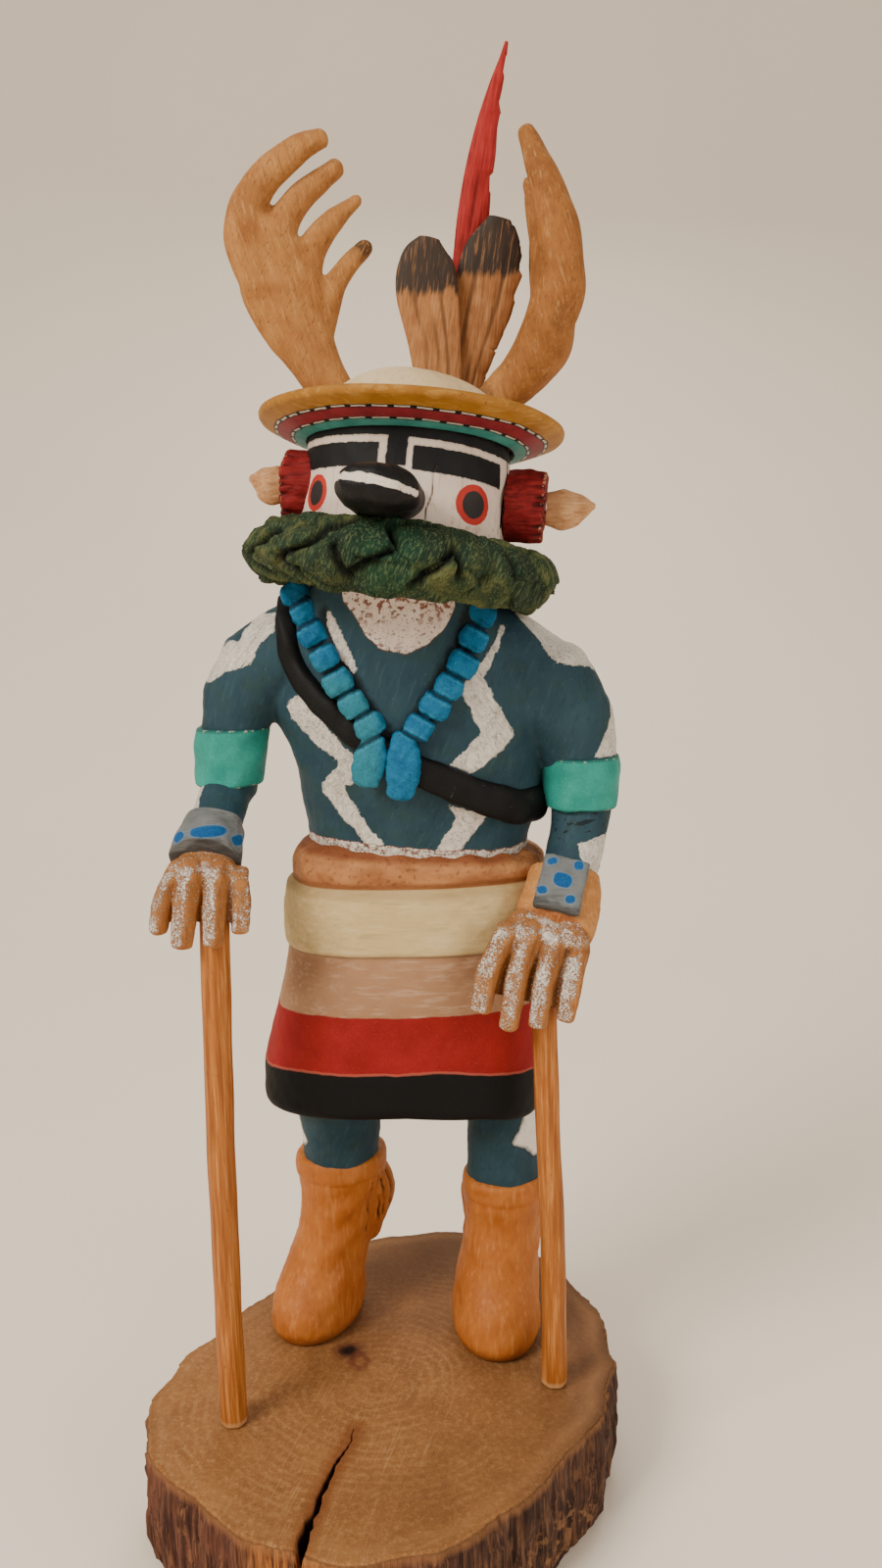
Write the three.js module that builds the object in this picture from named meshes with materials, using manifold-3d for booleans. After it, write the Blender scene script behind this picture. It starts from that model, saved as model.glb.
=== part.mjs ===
// Carved and painted kachina doll on a slice of log, leaning on two canes.
// Millimetres, +Z up. The figure faces -Y and +X is at its viewer's right.
// The origin is at the middle of the log slice's underside.
import * as THREE from 'three';
import { mergeVertices } from 'three/addons/utils/BufferGeometryUtils.js';
import Module from 'manifold-3d';

const wasm = await Module();
wasm.setup();

// ---- Driving dimensions ----------------------------------------------------

const CLEARANCE = 0.3;          // air left between neighbouring pieces
const BASE_TOP = 28;            // thickness of the log slice
const HEM_HEIGHT = 96.2;        // underside of the kilt
const BELT_LOW = 137;
const BELT_HIGH = 153;

const RIM_CENTRE = [13.4, 0, 255.6];   // middle of the hat brim's rim
const HEAD_ROLL = 7.0;                 // degrees, crown leans to +X
const HEAD_PITCH = 7.1;                // degrees, crown leans back
const HEAD_YAW = -7.5;                 // degrees, face turned to -X
const HEAD_RADIUS = 22.5;
const DOME_HEIGHT = 13;
const BRIM_RADIUS = 33.6;
const BRIM_THICKNESS = 1.8;
const BRIM_DROP = 3.7;                 // the underside falls this far from rim to head

const RUFF_CENTRE = [10.4, -2.6, 228.2];
const RUFF_ROLL = 8.2;                 // degrees
const RUFF_PITCH = 0.6;                // degrees
const RUFF_RADIUS = 28.2;              // middle line of the collar of twigs
const RUFF_HALF_WIDTH = 6.6;
const RUFF_HALF_HEIGHT = 8.2;
const RUFF_CLUMPS = 17;

// ---- Solids from sections --------------------------------------------------

const clamp = THREE.MathUtils.clamp;
const rad = THREE.MathUtils.degToRad;

/** Value of a table of rows at t in 0..1, on a smooth curve through every row. */
function alongRows(rows, t) {
  const last = rows.length - 1;
  const place = clamp(t, 0, 1) * last;
  const i = Math.min(Math.floor(place), last - 1);
  const f = place - i;
  const row = (k) => rows[clamp(k, 0, last)];
  return rows[i].map((_, c) => {
    const [p0, p1, p2, p3] = [row(i - 1)[c], row(i)[c], row(i + 1)[c], row(i + 2)[c]];
    const slope1 = (p2 - p0) / 2;
    const slope2 = (p3 - p1) / 2;
    const bend = 2 * (p1 - p2) + slope1 + slope2;
    return p1 + f * (slope1 + f * (-3 * (p1 - p2) - 2 * slope1 - slope2 + f * bend));
  });
}

/** A closed skin over rings of equal vertex count, with a fan over each end. */
function skin(rings) {
  const sides = rings[0].length;
  const positions = rings.flat().flatMap((p) => [p.x, p.y, p.z]);
  const index = [];
  for (let r = 0; r + 1 < rings.length; r++) {
    for (let s = 0; s < sides; s++) {
      const a = r * sides + s;
      const b = r * sides + (s + 1) % sides;
      index.push(a, b, b + sides, a, b + sides, a + sides);
    }
  }
  const cap = (ring, first, flip) => {
    const middle = ring.reduce((sum, p) => sum.add(p), new THREE.Vector3()).divideScalar(sides);
    const centre = positions.length / 3;
    positions.push(middle.x, middle.y, middle.z);
    for (let s = 0; s < sides; s++) {
      const pair = [first + s, first + (s + 1) % sides];
      index.push(centre, ...(flip ? pair.reverse() : pair));
    }
  };
  cap(rings[0], 0, true);
  cap(rings[rings.length - 1], (rings.length - 1) * sides, false);
  const geometry = new THREE.BufferGeometry();
  geometry.setAttribute('position', new THREE.Float32BufferAttribute(positions, 3));
  geometry.setIndex(index);
  return outward(geometry);
}

/** Turns every face over when the closed geometry has its faces pointing in. */
function outward(geometry) {
  const p = geometry.attributes.position;
  const index = geometry.index.array;
  const corner = (i) => new THREE.Vector3().fromBufferAttribute(p, index[i]);
  let volume = 0;
  for (let i = 0; i < index.length; i += 3) {
    volume += corner(i).dot(corner(i + 1).cross(corner(i + 2)));
  }
  if (volume < 0) {
    for (let i = 0; i < index.length; i += 3) {
      [index[i], index[i + 1]] = [index[i + 1], index[i]];
    }
  }
  return geometry;
}

/** Point on a superellipse: power 2 is an ellipse, more is boxier. */
function ovalPoint(angle, power) {
  const bulge = (v) => Math.sign(v) * Math.abs(v) ** (2 / power);
  return [bulge(Math.cos(angle)), bulge(Math.sin(angle))];
}

const TIP_SHARE = 0.58;    // size of the flat on a rounded tip
const SHORT_STEP = 0.02;   // share of a form's length over which its direction is taken

/**
 * A form lofted through rows of [x, y, z, half width, half depth]. The half width lies along
 * `across`. A level form keeps its sections horizontal, any other sets them square to its
 * line. `tips` gives the length of the rounding at each end, 0 for a flat end.
 */
function loft(rows, options = {}) {
  const { across = [1, 0, 0], level = false, sides = 12, steps = 8, power = 2, tips = [0, 0] } = options;
  const reference = new THREE.Vector3(...across).normalize();
  const at = (t) => alongRows(rows, t);
  const middle = (t) => new THREE.Vector3(...at(t).slice(0, 3));
  const ring = (t, push, shrink) => {
    const [x, y, z, width, depth] = at(t);
    const [before, after] = [Math.max(t - SHORT_STEP, 0), Math.min(t + SHORT_STEP, 1)];
    const along = middle(after).sub(middle(before)).normalize();
    const line = level ? new THREE.Vector3(0, 0, Math.sign(along.z)) : along;
    const side = reference.clone().addScaledVector(line, -reference.dot(line)).normalize();
    const deep = new THREE.Vector3().crossVectors(line, side);
    const centre = new THREE.Vector3(x, y, z).addScaledVector(line, push);
    return Array.from({ length: sides }, (_, s) => {
      const [u, v] = ovalPoint((2 * Math.PI * (s + 0.5)) / sides, power);
      return centre.clone()
        .addScaledVector(side, u * width * shrink)
        .addScaledVector(deep, v * depth * shrink);
    });
  };
  const rings = [];
  if (tips[0]) rings.push(ring(0, -tips[0], TIP_SHARE));
  for (let i = 0; i <= steps; i++) rings.push(ring(i / steps, 0, 1));
  if (tips[1]) rings.push(ring(1, tips[1], TIP_SHARE));
  return skin(rings);
}

/** A closed geometry as a solid that can be joined and cut. */
function solid(geometry) {
  const bare = geometry.clone();
  bare.deleteAttribute('normal');
  bare.deleteAttribute('uv');
  const merged = mergeVertices(bare, 1e-4);
  return new wasm.Manifold(new wasm.Mesh({
    numProp: 3,
    vertProperties: new Float32Array(merged.attributes.position.array),
    triVerts: new Uint32Array(merged.index.array),
  }));
}

const join = (geometries) => geometries.map(solid).reduce((sum, next) => sum.add(next));

function geometryOf(body) {
  const mesh = body.getMesh();
  const geometry = new THREE.BufferGeometry();
  geometry.setAttribute('position', new THREE.Float32BufferAttribute(mesh.vertProperties, 3));
  geometry.setIndex(Array.from(mesh.triVerts));
  geometry.computeVertexNormals();
  return geometry;
}

const paint = (color, roughness) => new THREE.MeshStandardMaterial({ color, roughness });

const doll = new THREE.Group();

function place(name, body, material) {
  const mesh = new THREE.Mesh(geometryOf(body), material);
  mesh.name = name;
  doll.add(mesh);
}

/** The place of a thing turned by yaw, then pitched back, then rolled towards +X. */
const tilt = (centre, roll, pitch, yaw) => new THREE.Matrix4()
  .makeRotationY(rad(roll))
  .multiply(new THREE.Matrix4().makeRotationX(rad(-pitch)))
  .multiply(new THREE.Matrix4().makeRotationZ(rad(yaw)))
  .setPosition(...centre);

const HEAD = tilt(RIM_CENTRE, HEAD_ROLL, HEAD_PITCH, HEAD_YAW);
const onHead = (geometry) => geometry.applyMatrix4(HEAD);

// ---- Log slice ---------------------------------------------------------------

// Radius of the slice every 22.5 degrees, counted from +X towards +Y.
const LOG_RADII = [57.1, 61, 65.5, 68.8, 64.2, 54.5, 48.8, 48, 53.8, 59.5, 59.3, 61.2, 63, 59, 54, 55];
const BARK_FLUTE = 0.7;
const CRACK = { from: [-4.4, -16.1], to: [-17, -66], width: 5, depth: 17 };

function logRadius(angle) {
  const count = LOG_RADII.length;
  const turn = ((angle / (2 * Math.PI)) * count + count) % count;
  const i = Math.floor(turn);
  const f = turn - i;
  const r = [-1, 0, 1, 2].map((k) => [LOG_RADII[(i + k + count) % count]]);
  return alongRows(r, (1 + f) / 3)[0];
}

function logSlice() {
  const sides = 40;
  const levels = [[0, -0.8], [BASE_TOP * 0.45, 0.6], [BASE_TOP - 1.6, 0], [BASE_TOP, -1.6]];
  const rings = levels.map(([z, grow]) => Array.from({ length: sides }, (_, s) => {
    const angle = (2 * Math.PI * s) / sides;
    const flute = BARK_FLUTE * Math.cos(15 * angle + Math.sin(4 * angle));
    const r = logRadius(angle) + grow + flute;
    return new THREE.Vector3(r * Math.cos(angle), r * Math.sin(angle), z);
  }));
  const [x0, y0] = CRACK.from;
  const [x1, y1] = CRACK.to;
  const wedge = loft([
    [x0, y0, BASE_TOP + 0.2, 0.3, 0.8],
    [(x0 + x1) / 2, (y0 + y1) / 2, BASE_TOP + 0.2, CRACK.width * 0.22, CRACK.depth * 0.45],
    [x1, y1, BASE_TOP + 0.2, CRACK.width / 2, CRACK.depth],
  ], { sides: 4, steps: 2 });
  return solid(skin(rings)).subtract(solid(wedge));
}

place('log_slice', logSlice(), paint(0xa5784f, 0.8));

// ---- Hat: crown above the brim, and the brim's own ring ------------------------

const HEAD_SIDES = 20;
const headDrum = onHead(loft([
  [0, 0, -38, 18, 18], [0, 0, -32, 21, 21], [0, 0, -24, HEAD_RADIUS, HEAD_RADIUS],
  [0, 0, -8, HEAD_RADIUS, HEAD_RADIUS], [0, 0, -0.5, HEAD_RADIUS - 1.2, HEAD_RADIUS - 1.2],
], { level: true, sides: HEAD_SIDES, steps: 4 }));

/** The crown is a half egg that stands on the head's drum, inside the brim. */
function crown(grow = 0) {
  const rings = [-0.2, 0.15, 0.55, 0.95, 1.35].map((a) => {
    const r = (HEAD_RADIUS - 1.2 + grow) * Math.cos(a);
    return [0, 0, (DOME_HEIGHT + 0.5 + grow) * Math.sin(a) - 0.5, r, r];
  });
  return onHead(loft(rings, { level: true, sides: HEAD_SIDES, steps: rings.length - 1 }));
}

function brimProfile(grow = 0) {
  const inner = HEAD_RADIUS + CLEARANCE - grow;
  const half = BRIM_THICKNESS / 2;
  return [
    [inner, -BRIM_DROP - grow], [BRIM_RADIUS - 5, -BRIM_DROP / 2 - grow],
    [BRIM_RADIUS - 0.4, -half * 0.6 - grow], [BRIM_RADIUS + grow, 0.2],
    [BRIM_RADIUS - 0.6, half + grow], [inner, 0.4 + grow], [inner, -BRIM_DROP - grow],
  ].map(([r, z]) => new THREE.Vector2(r, z));
}

const brimShape = (grow) => onHead(new THREE.LatheGeometry(brimProfile(grow), 32).rotateX(Math.PI / 2));
const brim = solid(brimShape(0));
place('hat_brim', brim, paint(0xb2822d, 0.5));

// ---- Ruff of spruce twigs round the neck --------------------------------------

function ruffShape({ around = 40, grow = 0, carved = 1 } = {}) {
  const sides = 6;
  const positions = [];
  const index = [];
  for (let i = 0; i < around; i++) {
    const turn = (2 * Math.PI * i) / around;
    for (let s = 0; s < sides; s++) {
      const angle = (2 * Math.PI * s) / sides;
      const twist = RUFF_CLUMPS * turn + 1.6 * Math.sin(angle) + 0.8 * Math.sin(3 * turn);
      const groove = 0.16 * Math.abs(Math.sin(twist / 2)) ** 0.7 - 0.04 * Math.sin(5 * turn + angle);
      const leaf = 1 - carved * groove;
      const [u, v] = ovalPoint(angle, 1.95);
      const outer = u > 0 ? leaf : 1;
      const r = RUFF_RADIUS + u * (RUFF_HALF_WIDTH * outer + grow);
      positions.push(r * Math.cos(turn), r * Math.sin(turn), v * (RUFF_HALF_HEIGHT * leaf + grow));
      const j = ((i + 1) % around) * sides;
      const [a, b] = [i * sides + s, i * sides + (s + 1) % sides];
      const [c, d] = [j + s, j + (s + 1) % sides];
      index.push(a, c, d, a, d, b);
    }
  }
  const geometry = new THREE.BufferGeometry();
  geometry.setAttribute('position', new THREE.Float32BufferAttribute(positions, 3));
  geometry.setIndex(index);
  return outward(geometry).applyMatrix4(tilt(RUFF_CENTRE, RUFF_ROLL, RUFF_PITCH, HEAD_YAW));
}

const NECK_HOLE = [
  [0, 0, -50, 20, 20], [0, 0, -40, 20.4, 20.4], [0, 0, -32, 21.6, 21.6],
  [0, 0, -24, 22.9, 22.9], [0, 0, -14, 22.9, 22.9],
];
const neckHole = onHead(loft(NECK_HOLE, { level: true, sides: HEAD_SIDES, steps: 3 }));
const ruff = solid(ruffShape()).subtract(solid(neckHole));
place('spruce_ruff', ruff, paint(0x37502f, 0.9));

// ---- Body, carved with its arms, kilt, boots, beads and mask -------------------

const TORSO = [
  [12.0, 16, 128, 26, 18], [12.5, 14.5, 161, 26.6, 18.5], [13.2, 12.4, 174, 28.8, 19.5],
  [13, 10.8, 184, 28.8, 20.4], [11.4, 9.6, 195, 30, 20.4], [10.3, 8.2, 206, 28, 18.6],
  [10, 6, 214, 22, 16.6], [9.9, 4, 220, 18.6, 15], [9.6, 1.6, 228, 17, 14.4], [10.2, -1, 236, 16, 14],
];
/** The shoulder girdle runs across from arm to arm: half width is its height. */
const SHOULDERS = [
  [-26, 9, 201.6, 10.6, 11], [-14.6, 8.6, 208.6, 10.8, 12.4], [2, 7.6, 213, 11, 13.6],
  [18, 7.6, 212, 11, 13.6], [32, 8.6, 206, 11, 12.6], [46, 9, 195.6, 11.4, 11.4],
];
/** Kilt, sash and rolled waistband in one stack of level sections. */
const KILT = [
  [5.6, 17.6, HEM_HEIGHT, 32.4, 21], [6, 17.6, HEM_HEIGHT + 2, 34.4, 22.6], [6.6, 17.6, 106, 34.6, 23],
  [8.6, 17.4, 119, 33.1, 22.6], [10.6, 16.5, BELT_LOW, 31, 21.6], [10.7, 16.4, BELT_LOW + 0.6, 32, 22.6],
  [11.6, 15.6, BELT_HIGH, 31.4, 21.9], [11.8, 15.4, BELT_HIGH + 0.6, 29.8, 20.8],
  [12.2, 15.2, 157, 30.4, 21.3], [12.5, 14.6, 162.4, 27.4, 19],
];

/** Arms by side: sections run from the shoulder to the knuckles. */
const ARMS = {
  left: {
    upper: [[-23.6, 9, 208, 9.8, 10.4], [-26, 9, 200, 11.8, 11.6], [-29.2, 8.6, 192, 9.4, 10.4],
      [-31, 8, 184, 7.6, 8.8], [-32.4, 7.8, 173.6, 6.4, 7.6]],
    armband: [[-30.6, 8.1, 190.5, 8.5, 9.7], [-31.1, 8, 186, 8.6, 9.6], [-32.1, 7.7, 177, 7.7, 8.8]],
    forearm: [[-32.8, 6, 175.4, 6, 7], [-33.3, 0, 171.6, 6.1, 6], [-34.2, -8, 167, 6.1, 5.4],
      [-34.6, -11, 164.8, 6.4, 4.8]],
    guard: [[-33.9, -4.6, 169.4, 6.7, 6], [-34.6, -9, 166.6, 7.3, 6.2], [-35.2, -12.6, 163.9, 7.9, 6.4]],
    palm: [[-35, -10.8, 163.6, 6.6, 4.4], [-35.2, -14.6, 161.6, 8.8, 4.6],
      [-35.3, -17.4, 158.2, 9.8, 3.8], [-35.4, -18.4, 153.6, 9.4, 3]],
    fingers: [
      [[-41.9, -19, 160.6], [-44.8, -22, 149.8]], [[-37.2, -20, 161.6], [-39.2, -23.4, 147.4]],
      [[-31.6, -20, 161.4], [-32.5, -23.4, 147.8]], [[-27.4, -18.6, 159.6], [-27.2, -21.2, 149.4]],
    ],
    fingerHalf: [2.5, 2.6],
  },
  right: {
    upper: [[42.4, 9, 204, 10.6, 10.8], [44.8, 9, 194, 13.8, 12.4], [49, 8.4, 185, 10.3, 10.6],
      [51.2, 7.8, 177, 8.1, 9.2], [50.8, 7, 165, 7, 7.8]],
    armband: [[51, 8, 181.8, 9.1, 10.2], [51.2, 7.7, 178, 9.2, 10.1], [51, 7, 169.6, 8.4, 9.2]],
    forearm: [[50.6, 5.6, 166.4, 6.9, 7.4], [48.8, 2, 159, 6.5, 6.4], [46.4, -3, 151.6, 6.4, 5.8],
      [45, -5.5, 148, 6.6, 5]],
    guard: [[46.6, -0.4, 155.6, 8, 6.9], [45.6, -2.6, 151.4, 9, 7.1], [44.2, -5.2, 146.4, 9.6, 6.8],
      [42.4, -7.4, 142, 9.2, 5.8]],
    palm: [[43, -6, 145, 7.4, 4.6], [41.4, -8.4, 141.4, 9.8, 4.6], [40, -9.8, 137, 10.6, 3.8],
      [39, -10.4, 131.6, 10, 3]],
    fingers: [
      [[31.9, -11.6, 143], [26, -14, 127.4]], [[37.6, -13, 143.6], [32.1, -15.6, 123.8]],
      [[42.8, -13, 142.2], [38.8, -15.6, 124.2]], [[47.8, -11.8, 139.6], [45, -14.4, 125]],
    ],
    fingerHalf: [2.45, 2.5],
  },
};
/** A flat plate stands on the right wrist guard. */
const GUARD_PLATE = [[46.6, -4.6, 159.4, 5.3, 1.4], [43.2, -11.9, 149.2, 5.4, 1.4]];

function arm({ upper, armband, forearm, guard, palm, fingers, fingerHalf: [width, depth] }) {
  return [
    loft(upper, { level: true, sides: 11, steps: 5, tips: [5.4, 0] }),
    loft(armband, { level: true, sides: 11, steps: 2, power: 2.2 }),
    loft(forearm, { sides: 9, steps: 3, tips: [2.4, 0] }),
    loft(guard, { sides: 10, steps: 2, power: 2.3 }),
    loft(palm, { sides: 10, steps: 3, power: 2.6 }),
    ...fingers.map(([top, tip]) => loft([[...top, width, depth], [...tip, width * 0.86, depth * 0.8]],
      { sides: 6, steps: 1, power: 2.6, tips: [0, 1.4] })),
  ];
}

/** Legs by side: the shin inside the boot, the boot from sole to rolled rim, and its flap. */
const LEGS = {
  left: {
    turn: -22,
    shin: [[-10.5, 17, 108, 10.6, 11], [-11.3, 18, 96, 10.7, 11], [-10.6, 22, 84, 10.2, 10.4],
      [-10.6, 25.5, 70, 9.8, 10]],
    boot: [
      [-17, 24.4, BASE_TOP + CLEARANCE, 9.9, 14.4], [-17, 24.2, 32, 11.3, 15.8],
      [-16.8, 24.6, 38, 11.2, 15.2], [-15.4, 26, 46, 10.4, 13], [-13.4, 27, 54, 9.9, 11.6],
      [-11.8, 26.8, 62, 10.2, 11.2], [-10.9, 26.2, 70, 11, 11.4], [-10.8, 26, 71, 12, 12.3],
      [-10.7, 25.8, 73.6, 12, 12.2], [-10.7, 25.6, 75.6, 10.8, 11],
    ],
    flap: [[-3.6, 29, 69, 4.2, 5.2], [-2.4, 30, 60, 4.8, 5.6], [-4.4, 31, 48, 2.6, 3.8]],
  },
  right: {
    turn: 3,
    shin: [[31.6, 16, 108, 9.2, 10.6], [32, 16.4, 94, 9, 10.4], [32, 18, 82, 9.3, 10.2],
      [31.8, 19.4, 66, 9.6, 10]],
    boot: [
      [29, 16.6, BASE_TOP + CLEARANCE, 10, 14.8], [29, 16.4, 32, 11.2, 15.9],
      [29.2, 16.8, 38, 11.1, 15.2], [30, 18.4, 46, 10.4, 13.2], [31, 19.8, 54, 9.9, 11.6],
      [31.6, 20.2, 60, 9.9, 11.2], [31.8, 19.8, 66, 10.2, 11], [31.9, 19.6, 67, 11, 11.8],
      [31.9, 19.4, 69.6, 10.9, 11.7], [31.9, 19.2, 71.6, 9.8, 10.6],
    ],
    flap: [[24.8, 24.6, 67.6, 3.2, 5.4], [23.8, 25, 61, 3, 5.8], [24.6, 25.6, 51, 2, 4]],
  },
};

function leg({ turn, shin, boot, flap }) {
  const across = [Math.cos(rad(turn)), Math.sin(rad(turn)), 0];
  return [
    loft(shin, { level: true, sides: 10, steps: 2 }),
    loft(boot, { across, level: true, sides: 14, steps: boot.length - 1, power: 2.15 }),
    loft(flap, { across, level: true, sides: 6, steps: 2, power: 2.4 }),
  ];
}

/** A flat strap over the chest and back, sunk by half into the body and widening to the hip. */
const BANDOLIER = [
  [-16, 3, 219.4, 2.4], [-16, -1.6, 213.6, 2.5], [-13.8, -3.8, 204.4, 2.7],
  [-5.4, -8.6, 194.4, 2.9], [4, -9.9, 187, 3.1], [14, -9.8, 181.4, 3.4], [25, -6.8, 175.8, 3.9],
  [36, 0, 171.2, 4.2], [42, 11, 172, 4.2], [40, 20, 177, 3.9], [30, 28.2, 186, 3.5],
  [14, 29.8, 198, 3.1], [-1, 24.9, 208, 2.8], [-12, 16, 216.6, 2.5], [-15.6, 9, 219.6, 2.4],
];
const BANDOLIER_DEPTH = 2.3;   // half of it shows
const BEADS = {
  left: [[-13.7, 0.8, 221.2], [-11.5, -2.4, 217.2], [-9.6, -5.2, 212.4], [-6.9, -8.2, 207.2],
    [-4.1, -9.6, 201.8], [-0.8, -10.7, 197], [2.6, -11, 192.3]],
  right: [[29.1, -1.3, 215.4], [26, -7.4, 210.4], [23.4, -9.8, 205.2], [20.3, -10.8, 200.4],
    [17.1, -11.2, 196.2], [13.4, -11.5, 191.6]],
};
const BEAD = { width: 3.4, length: 2.3, depth: 2.7 };   // half sizes
/** Hanging tabs by side: sections from the top to the tip. */
const PENDANTS = {
  left: [[3.8, -11.6, 189.6, 2, 2], [2.8, -11.9, 185.4, 3.6, 2.3], [1.4, -11.8, 180.6, 3, 2.1]],
  right: [[9.4, -11.6, 190, 2, 2], [9.8, -12, 184.4, 4, 2.4], [8.9, -11.9, 177.4, 3.2, 2.1]],
};

function bead([x, y, z], slant) {
  const { width, length, depth } = BEAD;
  const [dx, dz] = [Math.sin(rad(slant)) * length, -Math.cos(rad(slant)) * length];
  return loft([[x - dx, y + 0.2, z - dz, width, depth], [x + dx, y - 0.2, z + dz, width, depth]],
    { sides: 5, steps: 1, power: 2.8 });
}

const necklace = [
  ...BEADS.left.map((centre) => bead(centre, 27)),
  ...BEADS.right.map((centre) => bead(centre, -30)),
  ...Object.values(PENDANTS).map((rows) => loft(rows, { sides: 8, steps: 2, power: 2.6,
    tips: [0, 1.2] })),
];

const figureForms = [
  loft(TORSO, { level: true, sides: 16, steps: 7, power: 2.2 }),
  loft(SHOULDERS, { across: [0, 0, 1], sides: 9, steps: 4 }),
  loft(KILT, { level: true, sides: 20, steps: KILT.length - 1, power: 2.6 }),
  loft(BANDOLIER.map((row) => [...row, BANDOLIER_DEPTH]), { across: [0, 0, 1], sides: 5, steps: 17 }),
  loft(GUARD_PLATE, { sides: 8, steps: 1, power: 5 }),
  ...necklace,
  ...arm(ARMS.left),
  ...arm(ARMS.right),
  ...leg(LEGS.left),
  ...leg(LEGS.right),
];

/** Canes by side: rows from the foot on the log to the top in the hand. */
const CANES = {
  left: [[-34.6, -19.2, BASE_TOP + CLEARANCE, 3.1, 3.1], [-34.3, -19, 70, 3.1, 3.1],
    [-33.7, -18.8, 112, 3.2, 3.2], [-32.6, -18.6, 155, 3.3, 3.3]],
  right: [[42.2, -7.6, BASE_TOP + CLEARANCE, 3, 3], [42.2, -8, 62, 2.9, 2.9],
    [41.2, -8.6, 100, 2.9, 2.9], [40.2, -9.6, 134, 2.8, 2.8]],
};
const caneShape = (rows, grow = 0) => loft(rows.map(([x, y, z, a, b]) => [x, y, z, a + grow, b + grow]),
  { sides: 8, steps: 3, tips: [0, grow] });

const RUFF_ROOM = 1.2;   // the collar's uncut outline is grown by this to clear its twigs
const ruffRoom = solid(ruffShape({ around: 20, grow: RUFF_ROOM, carved: 0 }));
const figure = join(figureForms)
  .subtract(solid(caneShape(CANES.left, CLEARANCE)))
  .subtract(solid(caneShape(CANES.right, CLEARANCE)))
  .subtract(ruffRoom)
  .add(join([headDrum, crown()]));
place('carved_figure', figure, paint(0x2d505f, 0.7));
place('cane_left', solid(caneShape(CANES.left)), paint(0xbe824b, 0.6));
place('cane_right', solid(caneShape(CANES.right)), paint(0xbe824b, 0.6));

// ---- Pieces set into the mask: bill, rosettes and ear points --------------------

const roomRadius = HEAD_RADIUS + CLEARANCE;
const maskClearance = onHead(loft([
  [0, 0, -40, roomRadius, roomRadius], [0, 0, 2, roomRadius, roomRadius],
], { level: true, sides: 28, steps: 1 }));
const headAndRuffRoom = solid(maskClearance).add(ruffRoom);

const bill = onHead(loft([
  [-0.2, -19, -18.8, 8, 4.3], [-0.4, -27, -18.6, 8.5, 4.8],
  [-0.6, -34, -18.5, 8.2, 4.8], [-0.8, -38, -18.4, 6.6, 4],
], { sides: 12, steps: 3, power: 2.2, tips: [0, 3.2] }));
place('snout', solid(bill).subtract(headAndRuffRoom), paint(0x191b1c, 0.45));

/** Ear pieces by side: middle of the rosette on the mask, then how far the point reaches. */
const EARS = {
  left: { sign: -1, centre: [-21.5, -4.4, -14.2], reach: 7.6 },
  right: { sign: 1, centre: [26.5, 1.2, -13.2], reach: 10 },
};
const ROSETTE = { radius: 8, thickness: 8.4 };

for (const [side, { sign, centre: [x, y, z], reach }] of Object.entries(EARS)) {
  const rosette = new THREE.CylinderGeometry(ROSETTE.radius, ROSETTE.radius - 0.3, ROSETTE.thickness, 16, 1)
    .rotateZ((-sign * Math.PI) / 2)
    .translate(x, y, z);
  place(`ear_rosette_${side}`, solid(onHead(rosette)).subtract(headAndRuffRoom), paint(0x87191e, 0.9));
  const root = x + sign * (ROSETTE.thickness / 2 + 2 * CLEARANCE);
  const out = (share) => root + sign * reach * share;
  const point = loft([
    [root, y, z, 3.6, 2.2], [out(0.4), y + 0.1, z + 0.2, 4.4, 2.3],
    [out(0.75), y + 0.4, z + 1, 3, 1.7], [out(1), y + 0.6, z + 1.4, 1, 0.8],
  ], { across: [0, 0, 1], sides: 6, steps: 3, tips: [0, 0.8] });
  place(`ear_point_${side}`, solid(onHead(point)), paint(0xc79a74, 0.75));
}

// ---- Antlers and feathers set into the crown ------------------------------------

const crownClearance = solid(crown(CLEARANCE)).add(solid(brimShape(CLEARANCE))).add(solid(headDrum));

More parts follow.
